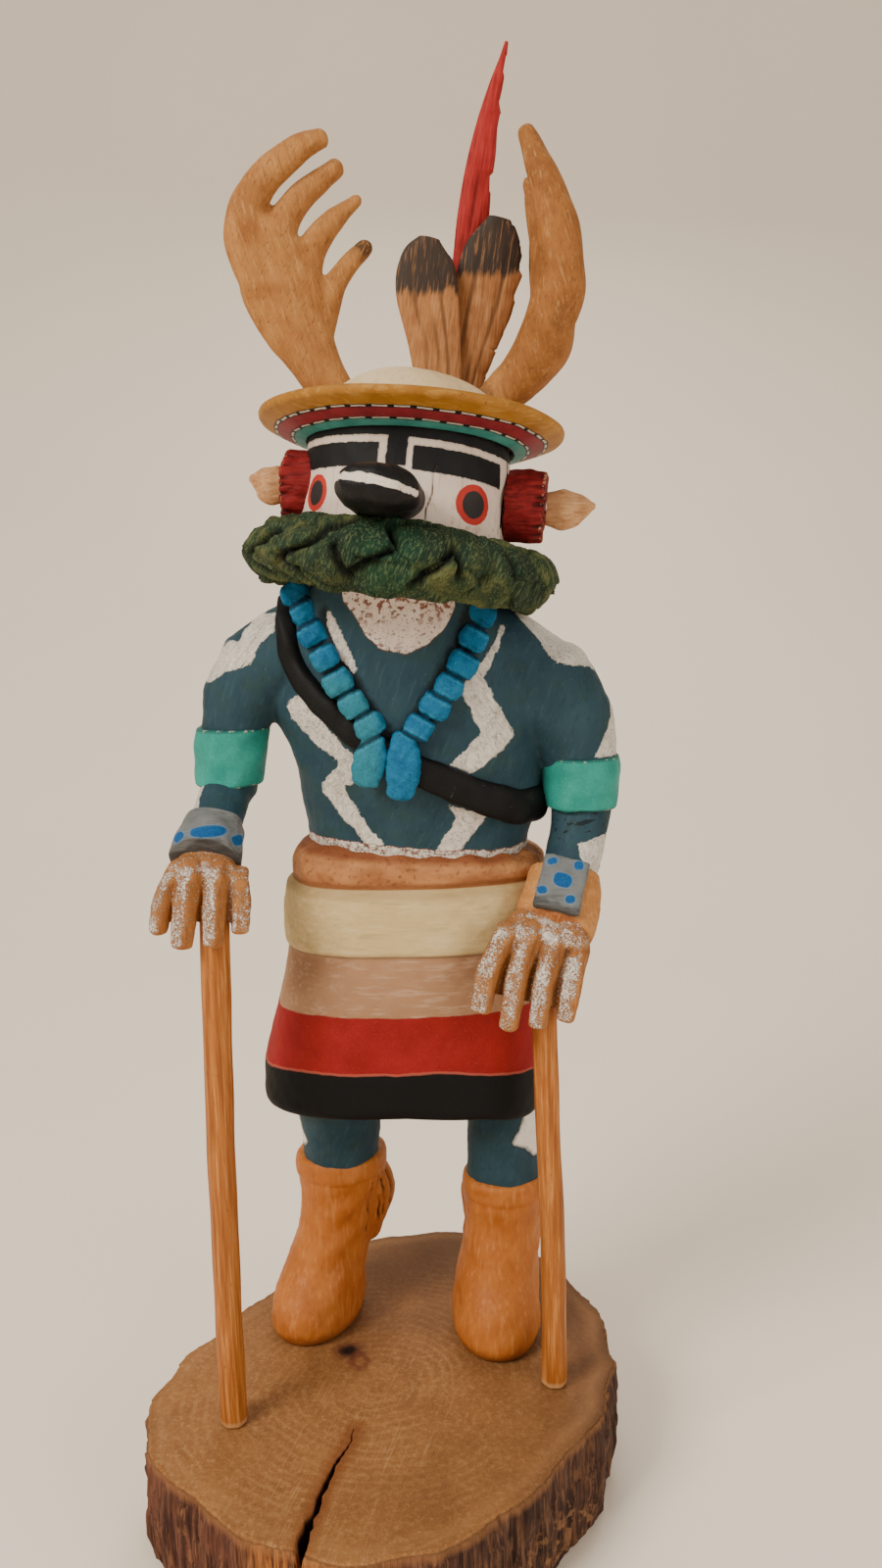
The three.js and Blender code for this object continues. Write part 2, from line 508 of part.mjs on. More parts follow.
/**
 * Antlers by side: a palm and then four prongs, from the shared root to each tip. The last
 * two numbers of a row are the half width across the prong and its half thickness.
 */
const ANTLERS = {
  left: [
    [[-0.6, 2, 261, 3.8, 3.6], [-4.2, 2, 267, 4.4, 3.8], [-8.4, 2, 274.6, 5.8, 3.9],
      [-11.8, 2, 282, 8.4, 3.9], [-15, 2, 289, 9.2, 3.8], [-18.2, 1.8, 296, 7.4, 3.6],
      [-20.6, 1.6, 301, 4.4, 3.3]],
    [[-17.6, 1.6, 286, 6, 3.4], [-21.6, 1, 293, 4.8, 3.6], [-21.4, 0.6, 302, 4.2, 3.3],
      [-16.4, 0.6, 309.2, 3.5, 3], [-9.6, 0.6, 314.2, 3, 2.7], [-4, 1, 316.8, 2.1, 2]],
    [[-15, 2, 290, 4, 3], [-14, 2, 298.4, 3.7, 3], [-8.8, 2.4, 305.9, 3, 2.6],
      [-1.2, 3, 311.5, 2.1, 1.9]],
    [[-10.4, 2.6, 284, 4, 3], [-7.4, 3, 294.6, 3.2, 2.7], [-3.2, 3.4, 300.2, 2.6, 2.2],
      [2.6, 4, 305, 1.4, 1.4]],
    [[-6.4, 2.8, 278, 3.6, 3], [-3.4, 3.2, 286, 2.9, 2.6], [0.6, 3.8, 291.6, 2.3, 2.1],
      [4.4, 4.2, 295.4, 1.6, 1.6]],
  ],
  right: [
    [[28.6, 2, 259.6, 4, 4.4], [37, 1, 266.4, 5, 5], [42.4, 0, 273, 6, 6.4], [44, 0, 281, 6, 8],
      [43.6, 2, 289, 5.4, 8], [42.6, 4, 296, 4.6, 6]],
    [[42, -2, 274, 5, 4.4], [45.6, -5, 284, 5.6, 4.6], [45, -5.6, 295, 5.2, 4.4],
      [42, -4, 306.6, 4, 3.6], [39.2, -2, 316.4, 1.9, 1.9]],
    [[44, 5, 286, 4, 3.6], [43, 6, 296, 3.4, 3.2], [41, 8, 304, 2.6, 2.6],
      [40, 10.6, 309.4, 1.8, 1.8]],
    [[43.4, 8, 282, 3.6, 3.4], [43.6, 12.4, 291, 2.8, 2.8], [42.6, 16.4, 299.4, 1.6, 1.6]],
    [[42, 6, 273, 3.4, 3.4], [42.6, 13, 279, 3, 3], [43.4, 18.4, 285.4, 2.2, 2.2],
      [43.6, 22.4, 291.6, 1.5, 1.5]],
  ],
};
const ANTLER_FLAT = { left: [0, 1, 0], right: [0.1, 1, 0] };   // the direction of the thickness

for (const side of ['left', 'right']) {
  const prongs = ANTLERS[side].map((rows) => loft(
    rows.map(([x, y, z, width, thick]) => [x, y, z, thick, width]),
    { across: ANTLER_FLAT[side], sides: 6, steps: rows.length - 1, tips: [0, 1.4] },
  ));
  place(`antler_${side}`, join(prongs).subtract(crownClearance), paint(0xbe915f, 0.7));
}

/** A flat feather: rows from quill to tip with a half width, and one thickness. */
function feather(rows, thickness, steps) {
  const sections = rows.map(([x, y, z, half]) => [x, y, z, half, thickness]);
  return loft(sections, { sides: 6, steps, power: 2.2 });
}

const FEATHERS = {
  feather_left: feather([[20, 6, 262, 4.9], [19.2, 6, 274, 5.8], [17.6, 5.9, 286, 6.8],
    [17.6, 5.8, 293, 5.8], [18.4, 5.7, 297.4, 2.4]], 1.4, 6),
  feather_right: feather([[23.8, 9.2, 260, 3.2], [26.6, 9.3, 272, 5.2], [30, 9.5, 284, 7],
    [32.8, 9.7, 295, 6.8], [34.2, 9.8, 302, 2.8]], 1.4, 6),
  feather_red: feather([[24.6, 13.2, 262, 2.6], [25.6, 13.2, 284, 3.2], [28.8, 13.2, 306, 3.6],
    [32.4, 13.2, 324, 2.5], [36.3, 13, 339, 0.4]], 1.1, 8),
};
const FEATHER_PAINT = { feather_left: 0xbe916e, feather_right: 0xbe916e, feather_red: 0xaf2d2d };
for (const [name, shape] of Object.entries(FEATHERS)) {
  place(name, solid(shape).subtract(crownClearance), paint(FEATHER_PAINT[name], 0.8));
}

export default doll;
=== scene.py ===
# A kachina doll carved and painted in cottonwood, standing on a slice of log with two canes.
# Tables of stations are in millimetres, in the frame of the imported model; meshes are in metres.
import math

import bpy
import numpy as np
from mathutils import Matrix, Vector


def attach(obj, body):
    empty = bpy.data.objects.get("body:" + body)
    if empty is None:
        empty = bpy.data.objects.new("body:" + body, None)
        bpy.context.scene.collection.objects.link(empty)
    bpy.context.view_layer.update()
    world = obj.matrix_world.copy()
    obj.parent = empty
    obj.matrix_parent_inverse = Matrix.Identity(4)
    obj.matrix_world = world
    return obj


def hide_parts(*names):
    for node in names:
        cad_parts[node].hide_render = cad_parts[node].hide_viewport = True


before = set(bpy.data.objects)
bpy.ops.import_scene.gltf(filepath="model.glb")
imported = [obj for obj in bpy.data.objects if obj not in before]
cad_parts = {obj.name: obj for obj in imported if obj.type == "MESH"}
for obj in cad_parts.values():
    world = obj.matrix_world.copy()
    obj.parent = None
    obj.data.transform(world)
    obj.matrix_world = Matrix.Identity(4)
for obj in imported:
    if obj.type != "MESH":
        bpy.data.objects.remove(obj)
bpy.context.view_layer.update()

MM = 0.001

# ---- Camera -----------------------------------------------------------------------------
# It stands a little right of the doll's middle at the height of the neck, looking ten
# degrees down, with a slight roll about its own axis.
camera = bpy.data.objects.new("camera", bpy.data.cameras.new("camera"))
camera.data.sensor_fit = "VERTICAL"
camera.data.sensor_height = 36
camera.data.lens = 29.25
camera.data.clip_start = 0.01
camera.matrix_world = (Matrix.Translation((0.018, -0.290, 0.228))
                       @ Matrix.Rotation(math.radians(80), 4, "X")
                       @ Matrix.Rotation(math.radians(-1.4), 4, "Z"))
bpy.context.collection.objects.link(camera)
bpy.context.scene.camera = camera

# ---- Log slice --------------------------------------------------------------------------
# The base is a slice sawn across a crooked cottonwood branch and sanded on top. Its side
# keeps the ribbed, weathered bark, and one drying crack runs from near the heart to the rim.


def smooth_rows(rows, t):
    """Values of a table of rows at t from 0 to 1, on a smooth curve through every row."""
    rows = np.asarray(rows, float)
    last = len(rows) - 1
    place = np.clip(t, 0, 1) * last
    i = np.minimum(place.astype(int), last - 1)
    f = (place - i)[:, None]
    p0, p1, p2, p3 = (rows[np.clip(i + k, 0, last)] for k in (-1, 0, 1, 2))
    slope1, slope2 = (p2 - p0) / 2, (p3 - p1) / 2
    bend = 2 * (p1 - p2) + slope1 + slope2
    return p1 + f * (slope1 + f * (-3 * (p1 - p2) - 2 * slope1 - slope2 + f * bend))


def unit(vectors):
    return vectors / np.linalg.norm(vectors, axis=-1, keepdims=True)


def oval(sides, power):
    """Points of a unit superellipse: power 2 is round, more is boxier."""
    turn = 2 * np.pi * (np.arange(sides) + 0.5) / sides
    c, s = np.cos(turn), np.sin(turn)
    return np.sign(c) * abs(c) ** (2 / power), np.sign(s) * abs(s) ** (2 / power)


def rings_of(rows, across=(1, 0, 0), level=False, sides=48, steps=60, power=2.0, tips=(0, 0)):
    """Sections of a form through rows of x, y, z, half width and half depth."""
    t = np.linspace(0, 1, steps + 1)
    centre, half = np.split(smooth_rows(rows, t), [3], axis=1)
    line = smooth_rows(rows, t + 0.02)[:, :3] - smooth_rows(rows, t - 0.02)[:, :3]
    line = unit(line * (0, 0, 1) if level else line)
    across = unit(np.asarray(across, float))
    side = unit(across - line * (line @ across)[:, None])
    deep = np.cross(line, side)
    turn = np.radians([86, 68, 50, 32, 15])
    index, push, size = np.arange(steps + 1), np.zeros(steps + 1), np.ones(steps + 1)
    if tips[0]:
        index = np.r_[np.zeros(5, int), index]
        push = np.r_[-tips[0] * np.sin(turn), push]
        size = np.r_[np.cos(turn), size]
    if tips[1]:
        index = np.r_[index, np.full(5, steps)]
        push = np.r_[push, tips[1] * np.sin(turn[::-1])]
        size = np.r_[size, np.cos(turn[::-1])]
    u, v = oval(sides, power)
    middle = centre[index] + line[index] * push[:, None]
    width, depth = (half[index] * size[:, None]).T
    return (middle[:, None] + side[index][:, None] * (width[:, None] * u)[..., None]
            + deep[index][:, None] * (depth[:, None] * v)[..., None])


def mesh_of(name, points, faces):
    mesh = bpy.data.meshes.new(name)
    mesh.from_pydata((np.asarray(points) * MM).tolist(), [], faces)
    return mesh


def skin(name, rings):
    """A closed mesh over rings of points, with a fan over each end."""
    count, sides = rings.shape[:2]
    i, s = np.meshgrid(np.arange(count - 1), np.arange(sides), indexing="ij")
    low, next_low = i * sides + s, i * sides + (s + 1) % sides
    quads = np.stack([low, next_low, next_low + sides, low + sides], -1).reshape(-1, 4)
    points = np.vstack([rings.reshape(-1, 3), rings[0].mean(0), rings[-1].mean(0)])
    ring = np.arange(sides)
    turned = (ring + 1) % sides
    top = (count - 1) * sides
    fans = ([(count * sides, b, a) for a, b in zip(ring.tolist(), turned.tolist())]
            + [(count * sides + 1, top + a, top + b) for a, b in zip(ring.tolist(), turned.tolist())])
    mesh = mesh_of(name, points, quads.tolist() + fans)
    centred = points - points.mean(0)
    a, b, c, d = (centred[quads[:, k]] for k in range(4))
    if ((np.cross(b, c) * a).sum() + (np.cross(c, d) * a).sum()) < 0:
        mesh.flip_normals()
    return mesh


def points_of(mesh):
    flat = np.empty(len(mesh.vertices) * 3)
    mesh.vertices.foreach_get("co", flat)
    return flat.reshape(-1, 3) / MM


def normals_of(mesh):
    flat = np.empty(len(mesh.vertices) * 3)
    mesh.vertices.foreach_get("normal", flat)
    return flat.reshape(-1, 3)


def move_points(mesh, points):
    mesh.vertices.foreach_set("co", (points * MM).ravel())
    mesh.update()


def push_out(mesh, points, far):
    """Puts a mesh's points at new places, moved out along its normals."""
    move_points(mesh, points + normals_of(mesh) * far[:, None])


def mark(mesh, name, values):
    """Keeps one number per point, for a material to read."""
    layer = mesh.attributes.new(name, "FLOAT", "POINT")
    layer.data.foreach_set("value", np.ascontiguousarray(values, dtype=np.float32))


def rumple(points, size, seed, waves=9):
    """Soft unevenness between about -1 and 1, with humps of the given size."""
    rng = np.random.default_rng(seed)
    total = 0
    for _ in range(waves):
        way = unit(rng.normal(size=3)) * 2 * np.pi / (size * rng.uniform(0.7, 1.6))
        total = total + np.sin(points @ way + rng.uniform(0, 6.28))
    return total / waves ** 0.5 / 1.3


def lumps(points, *humps):
    """Unevenness summed from humps: how high, how wide and the seed of each."""
    return sum(high * rumple(points, wide, seed) for high, wide, seed in humps)


def line_distance(points, line, weights=(1, 0.3, 1)):
    """How far each point is from a run of points, with depth counting for less."""
    weights = np.asarray(weights)
    p, line = points * weights, np.asarray(line, float) * weights
    best = np.full(len(p), 1e9)
    for a, b in zip(line[:-1], line[1:]):
        t = np.clip((p - a) @ (b - a) / max((b - a) @ (b - a), 1e-9), 0, 1)
        best = np.minimum(best, np.linalg.norm(p - a - t[:, None] * (b - a), axis=1))
    return best


def outline_distance(points, outline):
    """Signed distance to a closed outline of x and z seen from the front, negative inside."""
    x, z = points[:, 0], points[:, 2]
    best, inside = np.full(len(x), 1e9), np.zeros(len(x), bool)
    for (x0, z0), (x1, z1) in zip(outline, [*outline[1:], outline[0]]):
        along, rise = x1 - x0, z1 - z0
        t = np.clip(((x - x0) * along + (z - z0) * rise) / (along ** 2 + rise ** 2), 0, 1)
        best = np.minimum(best, np.hypot(x - x0 - t * along, z - z0 - t * rise))
        inside ^= ((z0 > z) != (z1 > z)) & (x < x0 + (z - z0) * along / (rise or 1))
    return np.where(inside, -best, best)


def new_object(name, mesh):
    piece = bpy.data.objects.new(name, mesh)
    bpy.context.collection.objects.link(piece)
    return piece


def settle(piece):
    """Gives a piece the mesh that its modifiers make."""
    made = piece.evaluated_get(bpy.context.evaluated_depsgraph_get())
    piece.data = bpy.data.meshes.new_from_object(made)
    piece.modifiers.clear()


def tint(red, green, blue):
    """A colour by its usual screen values."""
    linear = [((c / 255 + 0.055) / 1.055) ** 2.4 if c > 10 else c / 3295 for c in (red, green, blue)]
    return (*linear, 1)


class Shade:
    """A value or colour in a material that plain sums can be done with."""

    def __init__(self, tree, socket=None):
        self.tree, self.socket = tree, socket

    def node(self, kind, settings=None, sockets=None, out=0):
        """Adds any node: its settings first, then a number or a link for each socket."""
        made = self.tree.nodes.new(kind)
        for name, value in (settings or {}).items():
            setattr(made, name, value)
        for name, value in (sockets or {}).items():
            if isinstance(value, Shade):
                self.tree.links.new(value.socket, made.inputs[name])
            else:
                made.inputs[name].default_value = value
        return Shade(self.tree, made.outputs[out] if made.outputs else None)

    def sum(self, operation, *values):
        return self.node("ShaderNodeMath", {"operation": operation}, dict(enumerate(values)))

    def __add__(self, other):
        return self.sum("ADD", self, other)

    def __sub__(self, other):
        return self.sum("SUBTRACT", self, other)

    def __rsub__(self, other):
        return self.sum("SUBTRACT", other, self)

    def __mul__(self, other):
        return self.sum("MULTIPLY", self, other)

    def __pow__(self, other):
        return self.sum("POWER", self, other)

    __radd__, __rmul__ = __add__, __mul__

    def least(self, other):
        return self.sum("MINIMUM", self, other)

    def most(self, other):
        return self.sum("MAXIMUM", self, other)

    def size(self):
        return self.sum("ABSOLUTE", self)

    def above(self, limit, blur=0.1):
        """1 where the value is over the limit, 0 where it is under, with a soft edge."""
        return self.node("ShaderNodeMapRange", None, {"Value": self, "From Min": limit - blur / 2,
                                                      "From Max": limit + blur / 2})

    def below(self, limit, blur=0.1):
        return 1 - self.above(limit, blur)

    def over(self, under, colour):
        """Lays a colour over another where this value is 1."""
        return self.node("ShaderNodeMix", {"data_type": "RGBA"}, {0: self, 6: under, 7: colour}, out=2)

    def between(self, low, high, middle=0.5, blur=0.4):
        """A colour that drifts from one to the other as this value rises past the middle."""
        return self.above(middle, blur).over(tint(*low), tint(*high))

    def coats(self, *coats):
        """Paints coats over a colour: where each one lies, then its red, green and blue."""
        colour = self
        for where, *paint in coats:
            colour = where.over(colour, tint(*paint))
        return colour

    def mark(self, name):
        return self.node("ShaderNodeAttribute", {"attribute_name": name}, out=2)

    def spot(self):
        return self.node("ShaderNodeTexCoord", out=3)

    def axes(self):
        """Place on the piece in millimetres, as three values."""
        place = self.node("ShaderNodeVectorMath", {"operation": "SCALE"}, {0: self.spot(), "Scale": 1000})
        apart = place.node("ShaderNodeSeparateXYZ", None, {0: place})
        return [Shade(self.tree, apart.socket.node.outputs[k]) for k in range(3)]

    def stretched(self, stretch, turn=(0, 0, 0)):
        """Place on the piece, drawn out along the axis that turn carries Z to."""
        return self.node("ShaderNodeMapping", {"vector_type": "TEXTURE"},
                         {"Vector": self.spot(), "Rotation": turn, "Scale": (1, 1, stretch)})

    def noise(self, size, detail=3, stretch=1, turn=(0, 0, 0), rough=0.55, shift=0):
        """Cloudy values about 0.5, with clouds of the given size in millimetres."""
        place = self.stretched(stretch, turn) if stretch != 1 else self.spot()
        return self.node("ShaderNodeTexNoise", {"noise_dimensions": "4D"},
                         {"Vector": place, "W": shift, "Scale": 1000 / size, "Detail": detail,
                          "Roughness": rough})

    def bump(self, depth):
        """Relief of the given depth in millimetres for a value of 1."""
        return self.node("ShaderNodeBump", None, {"Height": self, "Distance": depth * MM, "Strength": 1.0})


def surface(colour, rough, relief, depth):
    return {"Base Color": colour, "Roughness": rough, "Normal": relief.bump(depth)}


def finish(name, recipe):
    """A material whose recipe gives what each socket of its shader takes."""
    material = bpy.data.materials.new(name)
    material.use_nodes = True
    tree = material.node_tree
    tree.nodes.clear()
    start = Shade(tree)
    sockets = {"Specular IOR Level": 0.18, **recipe(start)}
    shader = start.node("ShaderNodeBsdfPrincipled", None, sockets)
    start.node("ShaderNodeOutputMaterial", None, {"Surface": shader})
    return material


def set_piece(piece, material, slot, *solids):
    """Finishes a piece and lets it stand for its solids."""
    piece.data.shade_smooth()
    piece.data.materials.clear()
    piece.data.materials.append(material)
    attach(piece, "root")
    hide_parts(*solids)
    return piece


BASE_TOP = 28
LOG_RADII = [57.1, 61, 65.5, 68.8, 64.2, 54.5, 48.8, 48, 53.8, 59.5, 59.3, 61.2, 63, 59, 54, 55]
LOG_SIDES = 720
BARK_DEPTH = 0.75
CRACK = [(-5.6, -22, 0.12, 0.4), (-7.2, -28, 0.25, 1.4), (-9.6, -34.5, 0.5, 3.4), (-12.4, -46, 0.85, 7),
         (-14.4, -56, 1.5, 11), (-17, -66, 2.1, 15)]   # x, y, half width, depth
HEART = (-1.3, -7.0)

log_turn = 2 * np.pi * np.arange(LOG_SIDES) / LOG_SIDES
log_rows = np.array(LOG_RADII)
log_at = log_turn / (2 * np.pi) * len(log_rows)
log_near = [log_rows[(log_at.astype(int) + k) % len(log_rows)] for k in (-1, 0, 1, 2)]
log_f = log_at % 1
log_slopes = (log_near[2] - log_near[0]) / 2, (log_near[3] - log_near[1]) / 2
log_radius = log_near[1] + log_f * (log_slopes[0] + log_f * (
    -3 * (log_near[1] - log_near[2]) - 2 * log_slopes[0] - log_slopes[1]
    + log_f * (2 * (log_near[1] - log_near[2]) + log_slopes[0] + log_slopes[1])))
log_radius = log_radius + 0.7 * np.cos(15 * log_turn + np.sin(4 * log_turn))

bark_rng = np.random.default_rng(4)
bark_levels = bark_rng.normal(size=(5, LOG_SIDES))
bark_levels = sum(np.roll(bark_levels, k, axis=1) * w for k, w in
                  ((-2, 0.15), (-1, 0.5), (0, 0.9), (1, 0.5), (2, 0.15)))
bark_flakes = bark_rng.normal(size=(9, 90))



def log_ring(radius, z):
    return np.stack([radius * np.cos(log_turn), radius * np.sin(log_turn), np.full(LOG_SIDES, z)], 1)


LOG_HEIGHTS = np.r_[0, 0.5, np.linspace(1.2, BASE_TOP - 1.2, 32), BASE_TOP - 0.55, BASE_TOP - 0.12]
log_rings = []
for z in LOG_HEIGHTS:
    share = z / BASE_TOP
    level = share * (len(bark_levels) - 1)
    k = min(int(level), len(bark_levels) - 2)
    ribs = bark_levels[k] * (1 - level + k) + bark_levels[k + 1] * (level - k)
    flake_row = bark_flakes[int(share * 8)]
    flakes = np.interp(log_turn / (2 * np.pi) * 90, np.arange(91), np.r_[flake_row, flake_row[0]])
    grow = np.interp(share, [0, 0.45, 0.94, 1], [-0.8, 0.5, 0, -0.1])
    edge = np.interp(z, [0, 0.6, BASE_TOP - 1.0, BASE_TOP - 0.3, BASE_TOP], [-0.6, 0, 0, -0.25, -0.8])
    bark = BARK_DEPTH * (0.55 * ribs + 0.35 * np.minimum(flakes, 0.6)) * (0.25 if edge < 0 else 1)
    log_rings.append(log_ring(log_radius + grow + edge + bark, z))
log_rings += [log_ring(log_radius - inset, BASE_TOP) for inset in (1.1, 2.2, 4)]
log_rings += [log_ring(log_radius * share, BASE_TOP) for share in np.linspace(0.9, 0.02, 20)]
log_piece = new_object("sawn_log_slice", skin("sawn_log_slice", np.array(log_rings)))

crack_t = np.linspace(0, 1, 56)
crack_line = smooth_rows(CRACK, crack_t)
crack_rng = np.random.default_rng(8)
crack_line[:, 0] += np.convolve(crack_rng.normal(size=56), [0.2, 0.3, 0.2], "same") * 0.45
crack_line[:, 2] *= 1 + 0.25 * np.convolve(crack_rng.normal(size=56), [0.3, 0.4, 0.3], "same")
crack_rings = []
for x, y, half, depth in crack_line:
    crack_rings.append([(x + half * across, y, BASE_TOP + up - depth * down) for across, up, down in
                        ((-1, 1, 0), (-1, 0, 0), (-0.62, 0, 0.35), (-0.15, 0, 1), (0.5, 0, 0.4), (1, 0, 0),
                         (1, 1, 0))])
crack_tool = new_object("crack_tool", skin("crack_tool", np.array(crack_rings)))
cut = log_piece.modifiers.new("crack", "BOOLEAN")
cut.object, cut.operation, cut.solver = crack_tool, "DIFFERENCE", "EXACT"
settle(log_piece)
bpy.data.objects.remove(crack_tool)

log_points = points_of(log_piece.data)
log_inside = np.hypot(log_points[:, 0], log_points[:, 1])
rim_here = np.interp(np.arctan2(log_points[:, 1], log_points[:, 0]) % (2 * np.pi), log_turn, log_radius)
sunk_in = BASE_TOP - log_points[:, 2]
mark(log_piece.data, "bark", np.clip((sunk_in - 0.35) / 0.5, 0, 1)
     * np.clip((log_inside - rim_here + 4) / 1.5, 0, 1))
mark(log_piece.data, "crack", np.clip((sunk_in - 0.2) / 0.6, 0, 1)
     * np.clip(rim_here - 2.2 - log_inside, 0, 1))
mark(log_piece.data, "crack_near", line_distance(log_points, [(x, y, BASE_TOP) for x, y, *_ in CRACK],
                                                 (1, 1, 0)))
mark(log_piece.data, "rim", rim_here - log_inside)


def log_recipe(s):
    x, y, z = s.axes()
    near, rim = s.mark("crack_near"), s.mark("rim")
    heart = (((x - HEART[0]) ** 2 + (y - HEART[1]) ** 2) ** 0.5 + (s.noise(22, 2) - 0.5) * 9)
    years = (heart * 0.85).sum("SINE", heart * 0.85) * 0.5 + 0.5
    late = (heart * 2.3).sum("SINE", heart * 2.3) * 0.5 + 0.5
    fine = s.noise(0.5, 3, rough=0.75)
    flecks = s.noise(1.2, 4, rough=0.7, shift=21)
    clouds = s.noise(22, 3, shift=2)
    rub = s.noise(0.5, 3, stretch=40, turn=(1.5708, 0, -0.26), shift=5)
    scratched = (near.below(15, 16) + (((x - 2) ** 2 + (y + 12) ** 2) ** 0.5).below(20, 18) * 0.8).least(1)
    long_rub = s.noise(0.8, 2, stretch=60, turn=(1.5708, 0, -0.26), shift=15).above(0.68, 0.04)
    # painted shade on the top behind the figure and towards the right, mixed with darker cloudy patches of
    # the wood
    painted_shade_and_dark_patches = (y.above(26, 40) * 0.7 + x.above(40, 34) * 0.85 + s.noise(30, 2, shift=30).above(0.56, 0.2)
              * 0.25).least(0.8)
    knot = (((x + 9.4) ** 2 + (y - 8) ** 2) ** 0.5 + (s.noise(3, 2) - 0.5) * 2.4)
    ring = ((((x + 6.2) * 0.9) ** 2 + ((y - 3.4) * 0.6) ** 2) ** 0.5 - 1.7 + (s.noise(2, 2, shift=5) - 0.5)
            * 2.4).size()
    top = clouds.between((134, 88, 46), (158, 108, 60)).coats(
        (s.noise(8, 3, shift=8).above(0.56, 0.25) * 0.5, 124, 78, 42),
        (years * s.noise(26, 1, shift=4).above(0.45, 0.3) * heart.below(26, 30) * 0.28, 112, 72, 42),
        (late.above(0.72, 0.3) * s.noise(18, 1, shift=24).above(0.55, 0.2) * 0.3, 176, 130, 84),
        (flecks.above(0.58, 0.12) * 0.45, 182, 138, 92),
        (flecks.below(0.42, 0.12) * 0.35, 106, 70, 42),
        (fine.above(0.6, 0.1) * 0.35, 196, 152, 104),
        (fine.below(0.38, 0.1) * 0.4, 96, 62, 38),
        (rub.above(0.62, 0.1) * scratched * 0.4, 196, 150, 104),
        (long_rub * near.above(2.5, 2) * x.below(8, 14) * near.below(12, 6) * 0.55, 206, 164, 120),
        # painted shade, with the wood's darker patches
        (painted_shade_and_dark_patches, 90, 60, 38),
        (rim.below(5, 3) * rim.above(2, 2) * 0.16, 184, 136, 88),
        (knot.below(3.6, 2.6) * 0.7, 76, 38, 28),
        (knot.below(1.9, 1.4), 30, 14, 14),
        (ring.below(0.7, 0.8) * 0.6, 98, 44, 32),
        ((near.below(2.4, 2.6) * y.below(-17, 6)) * 0.75, 118, 64, 28))
    rib = s.noise(1.1, 3, stretch=20, rough=0.6)
    rib_fine = s.noise(0.45, 3, stretch=26, shift=3)
    patch = s.noise(11, 2, shift=5)
    # the bark is painted darker towards the right, as painted shade on the side away from the key lamp
    right_bark_in_painted_shade = x.above(14, 26)
    side = patch.between((70, 40, 32), (104, 62, 46), 0.5, 0.3)
    side = (right_bark_in_painted_shade * 0.8).over(side, patch.between((34, 26, 24), (76, 56, 46), 0.52, 0.3))
    tan = s.noise(2.2, 2, stretch=30, shift=14).above(0.66, 0.04) * x.below(6, 30)
    flake = (s.noise(4.5, 4, shift=11, rough=0.65).above(0.56, 0.06) * z.below(16, 10) * x.above(20, 8)
             * x.below(52, 8))
    side = side.coats(
        (rib.above(0.56, 0.14) * 0.5, 132, 88, 60),
        (rib.below(0.43, 0.12) * 0.65, 44, 27, 23),
        (rib_fine.above(0.6, 0.1) * 0.3, 160, 116, 78),
        (rib_fine.below(0.4, 0.1) * 0.4, 38, 24, 22),
        (tan * 0.85, 176, 124, 76),
        (flake * 0.6, 158, 114, 76))
    fibre = near.below(11, 9) * rib.above(0.44, 0.16)
    side = (fibre * 0.85).over(side, rib_fine.between((128, 70, 30), (196, 126, 62), 0.5, 0.3))
    side = side.coats((z.above(BASE_TOP - 2.4, 1.6) * 0.5, 150, 102, 62))
    # the crack's walls are painted dark, as painted shade inside the split
    deep = s.noise(1.6, 3, stretch=6, shift=6).between((36, 20, 14), (108, 62, 34), 0.62, 0.15)
    bark = s.mark("bark").above(0.5, 0.4)
    colour = s.mark("crack").above(0.3, 0.4).over(bark.over(top, side), deep)
    relief = fine * 0.35 + flecks * 0.4 + rub * 0.2
    barky = rib * 2.0 + rib_fine * 0.9 + s.noise(3.4, 3, shift=9) * 0.8
    return surface(colour, bark * 0.2 + 0.6 + fine * 0.1, relief + (barky - relief) * bark, 0.5)


set_piece(log_piece, finish("sanded_log_wood", log_recipe), "log_wood", "log_slice")

# ---- Canes ------------------------------------------------------------------------------
# Two whittled sticks of straight-grained wood, left plain. Each stands on the log with a
# trimmed foot and is glued into the doll's closed hand.
CANES = {
    "left": [[-34.6, -19.2, BASE_TOP + 0.3, 3.1, 3.1], [-34.3, -19, 70, 3.1, 3.1],
             [-33.7, -18.8, 112, 3.2, 3.2], [-32.6, -18.6, 155, 3.3, 3.3]],
    "right": [[42.2, -7.6, BASE_TOP + 0.3, 3, 3], [42.2, -8, 62, 2.9, 2.9],
              [41.2, -8.6, 100, 2.9, 2.9], [40.2, -9.6, 134, 2.8, 2.8]],
}


def cane_recipe(s):
    grain = s.noise(0.7, 4, stretch=26, rough=0.65)
    broad = s.noise(2.4, 2, stretch=14, shift=3)
    pores = s.noise(0.35, 2, stretch=5, shift=7)
    wood = broad.between((151, 86, 33), (174, 106, 47), 0.5, 0.3).coats(
        (grain.above(0.58, 0.12) * 0.6, 204, 142, 80),
        (grain.below(0.43, 0.12) * 0.7, 122, 66, 28),
        (pores.above(0.7, 0.05) * 0.8, 84, 46, 26))
    _, _, z = s.axes()
    wood = wood.coats((z.below(BASE_TOP + 1.6, 1.2) * 0.7, 214, 168, 112))
    return surface(wood, 0.44 + grain * 0.2, grain + pores * 0.4, 0.12)


def draw_in(rings, first, last):
    """Narrows the first and the last rings of a form, for softened ends."""
    for k, share in [*enumerate(first), *enumerate(last, -len(last))]:
        rings[k] += (rings[k] - rings[k].mean(0)) * (share - 1)


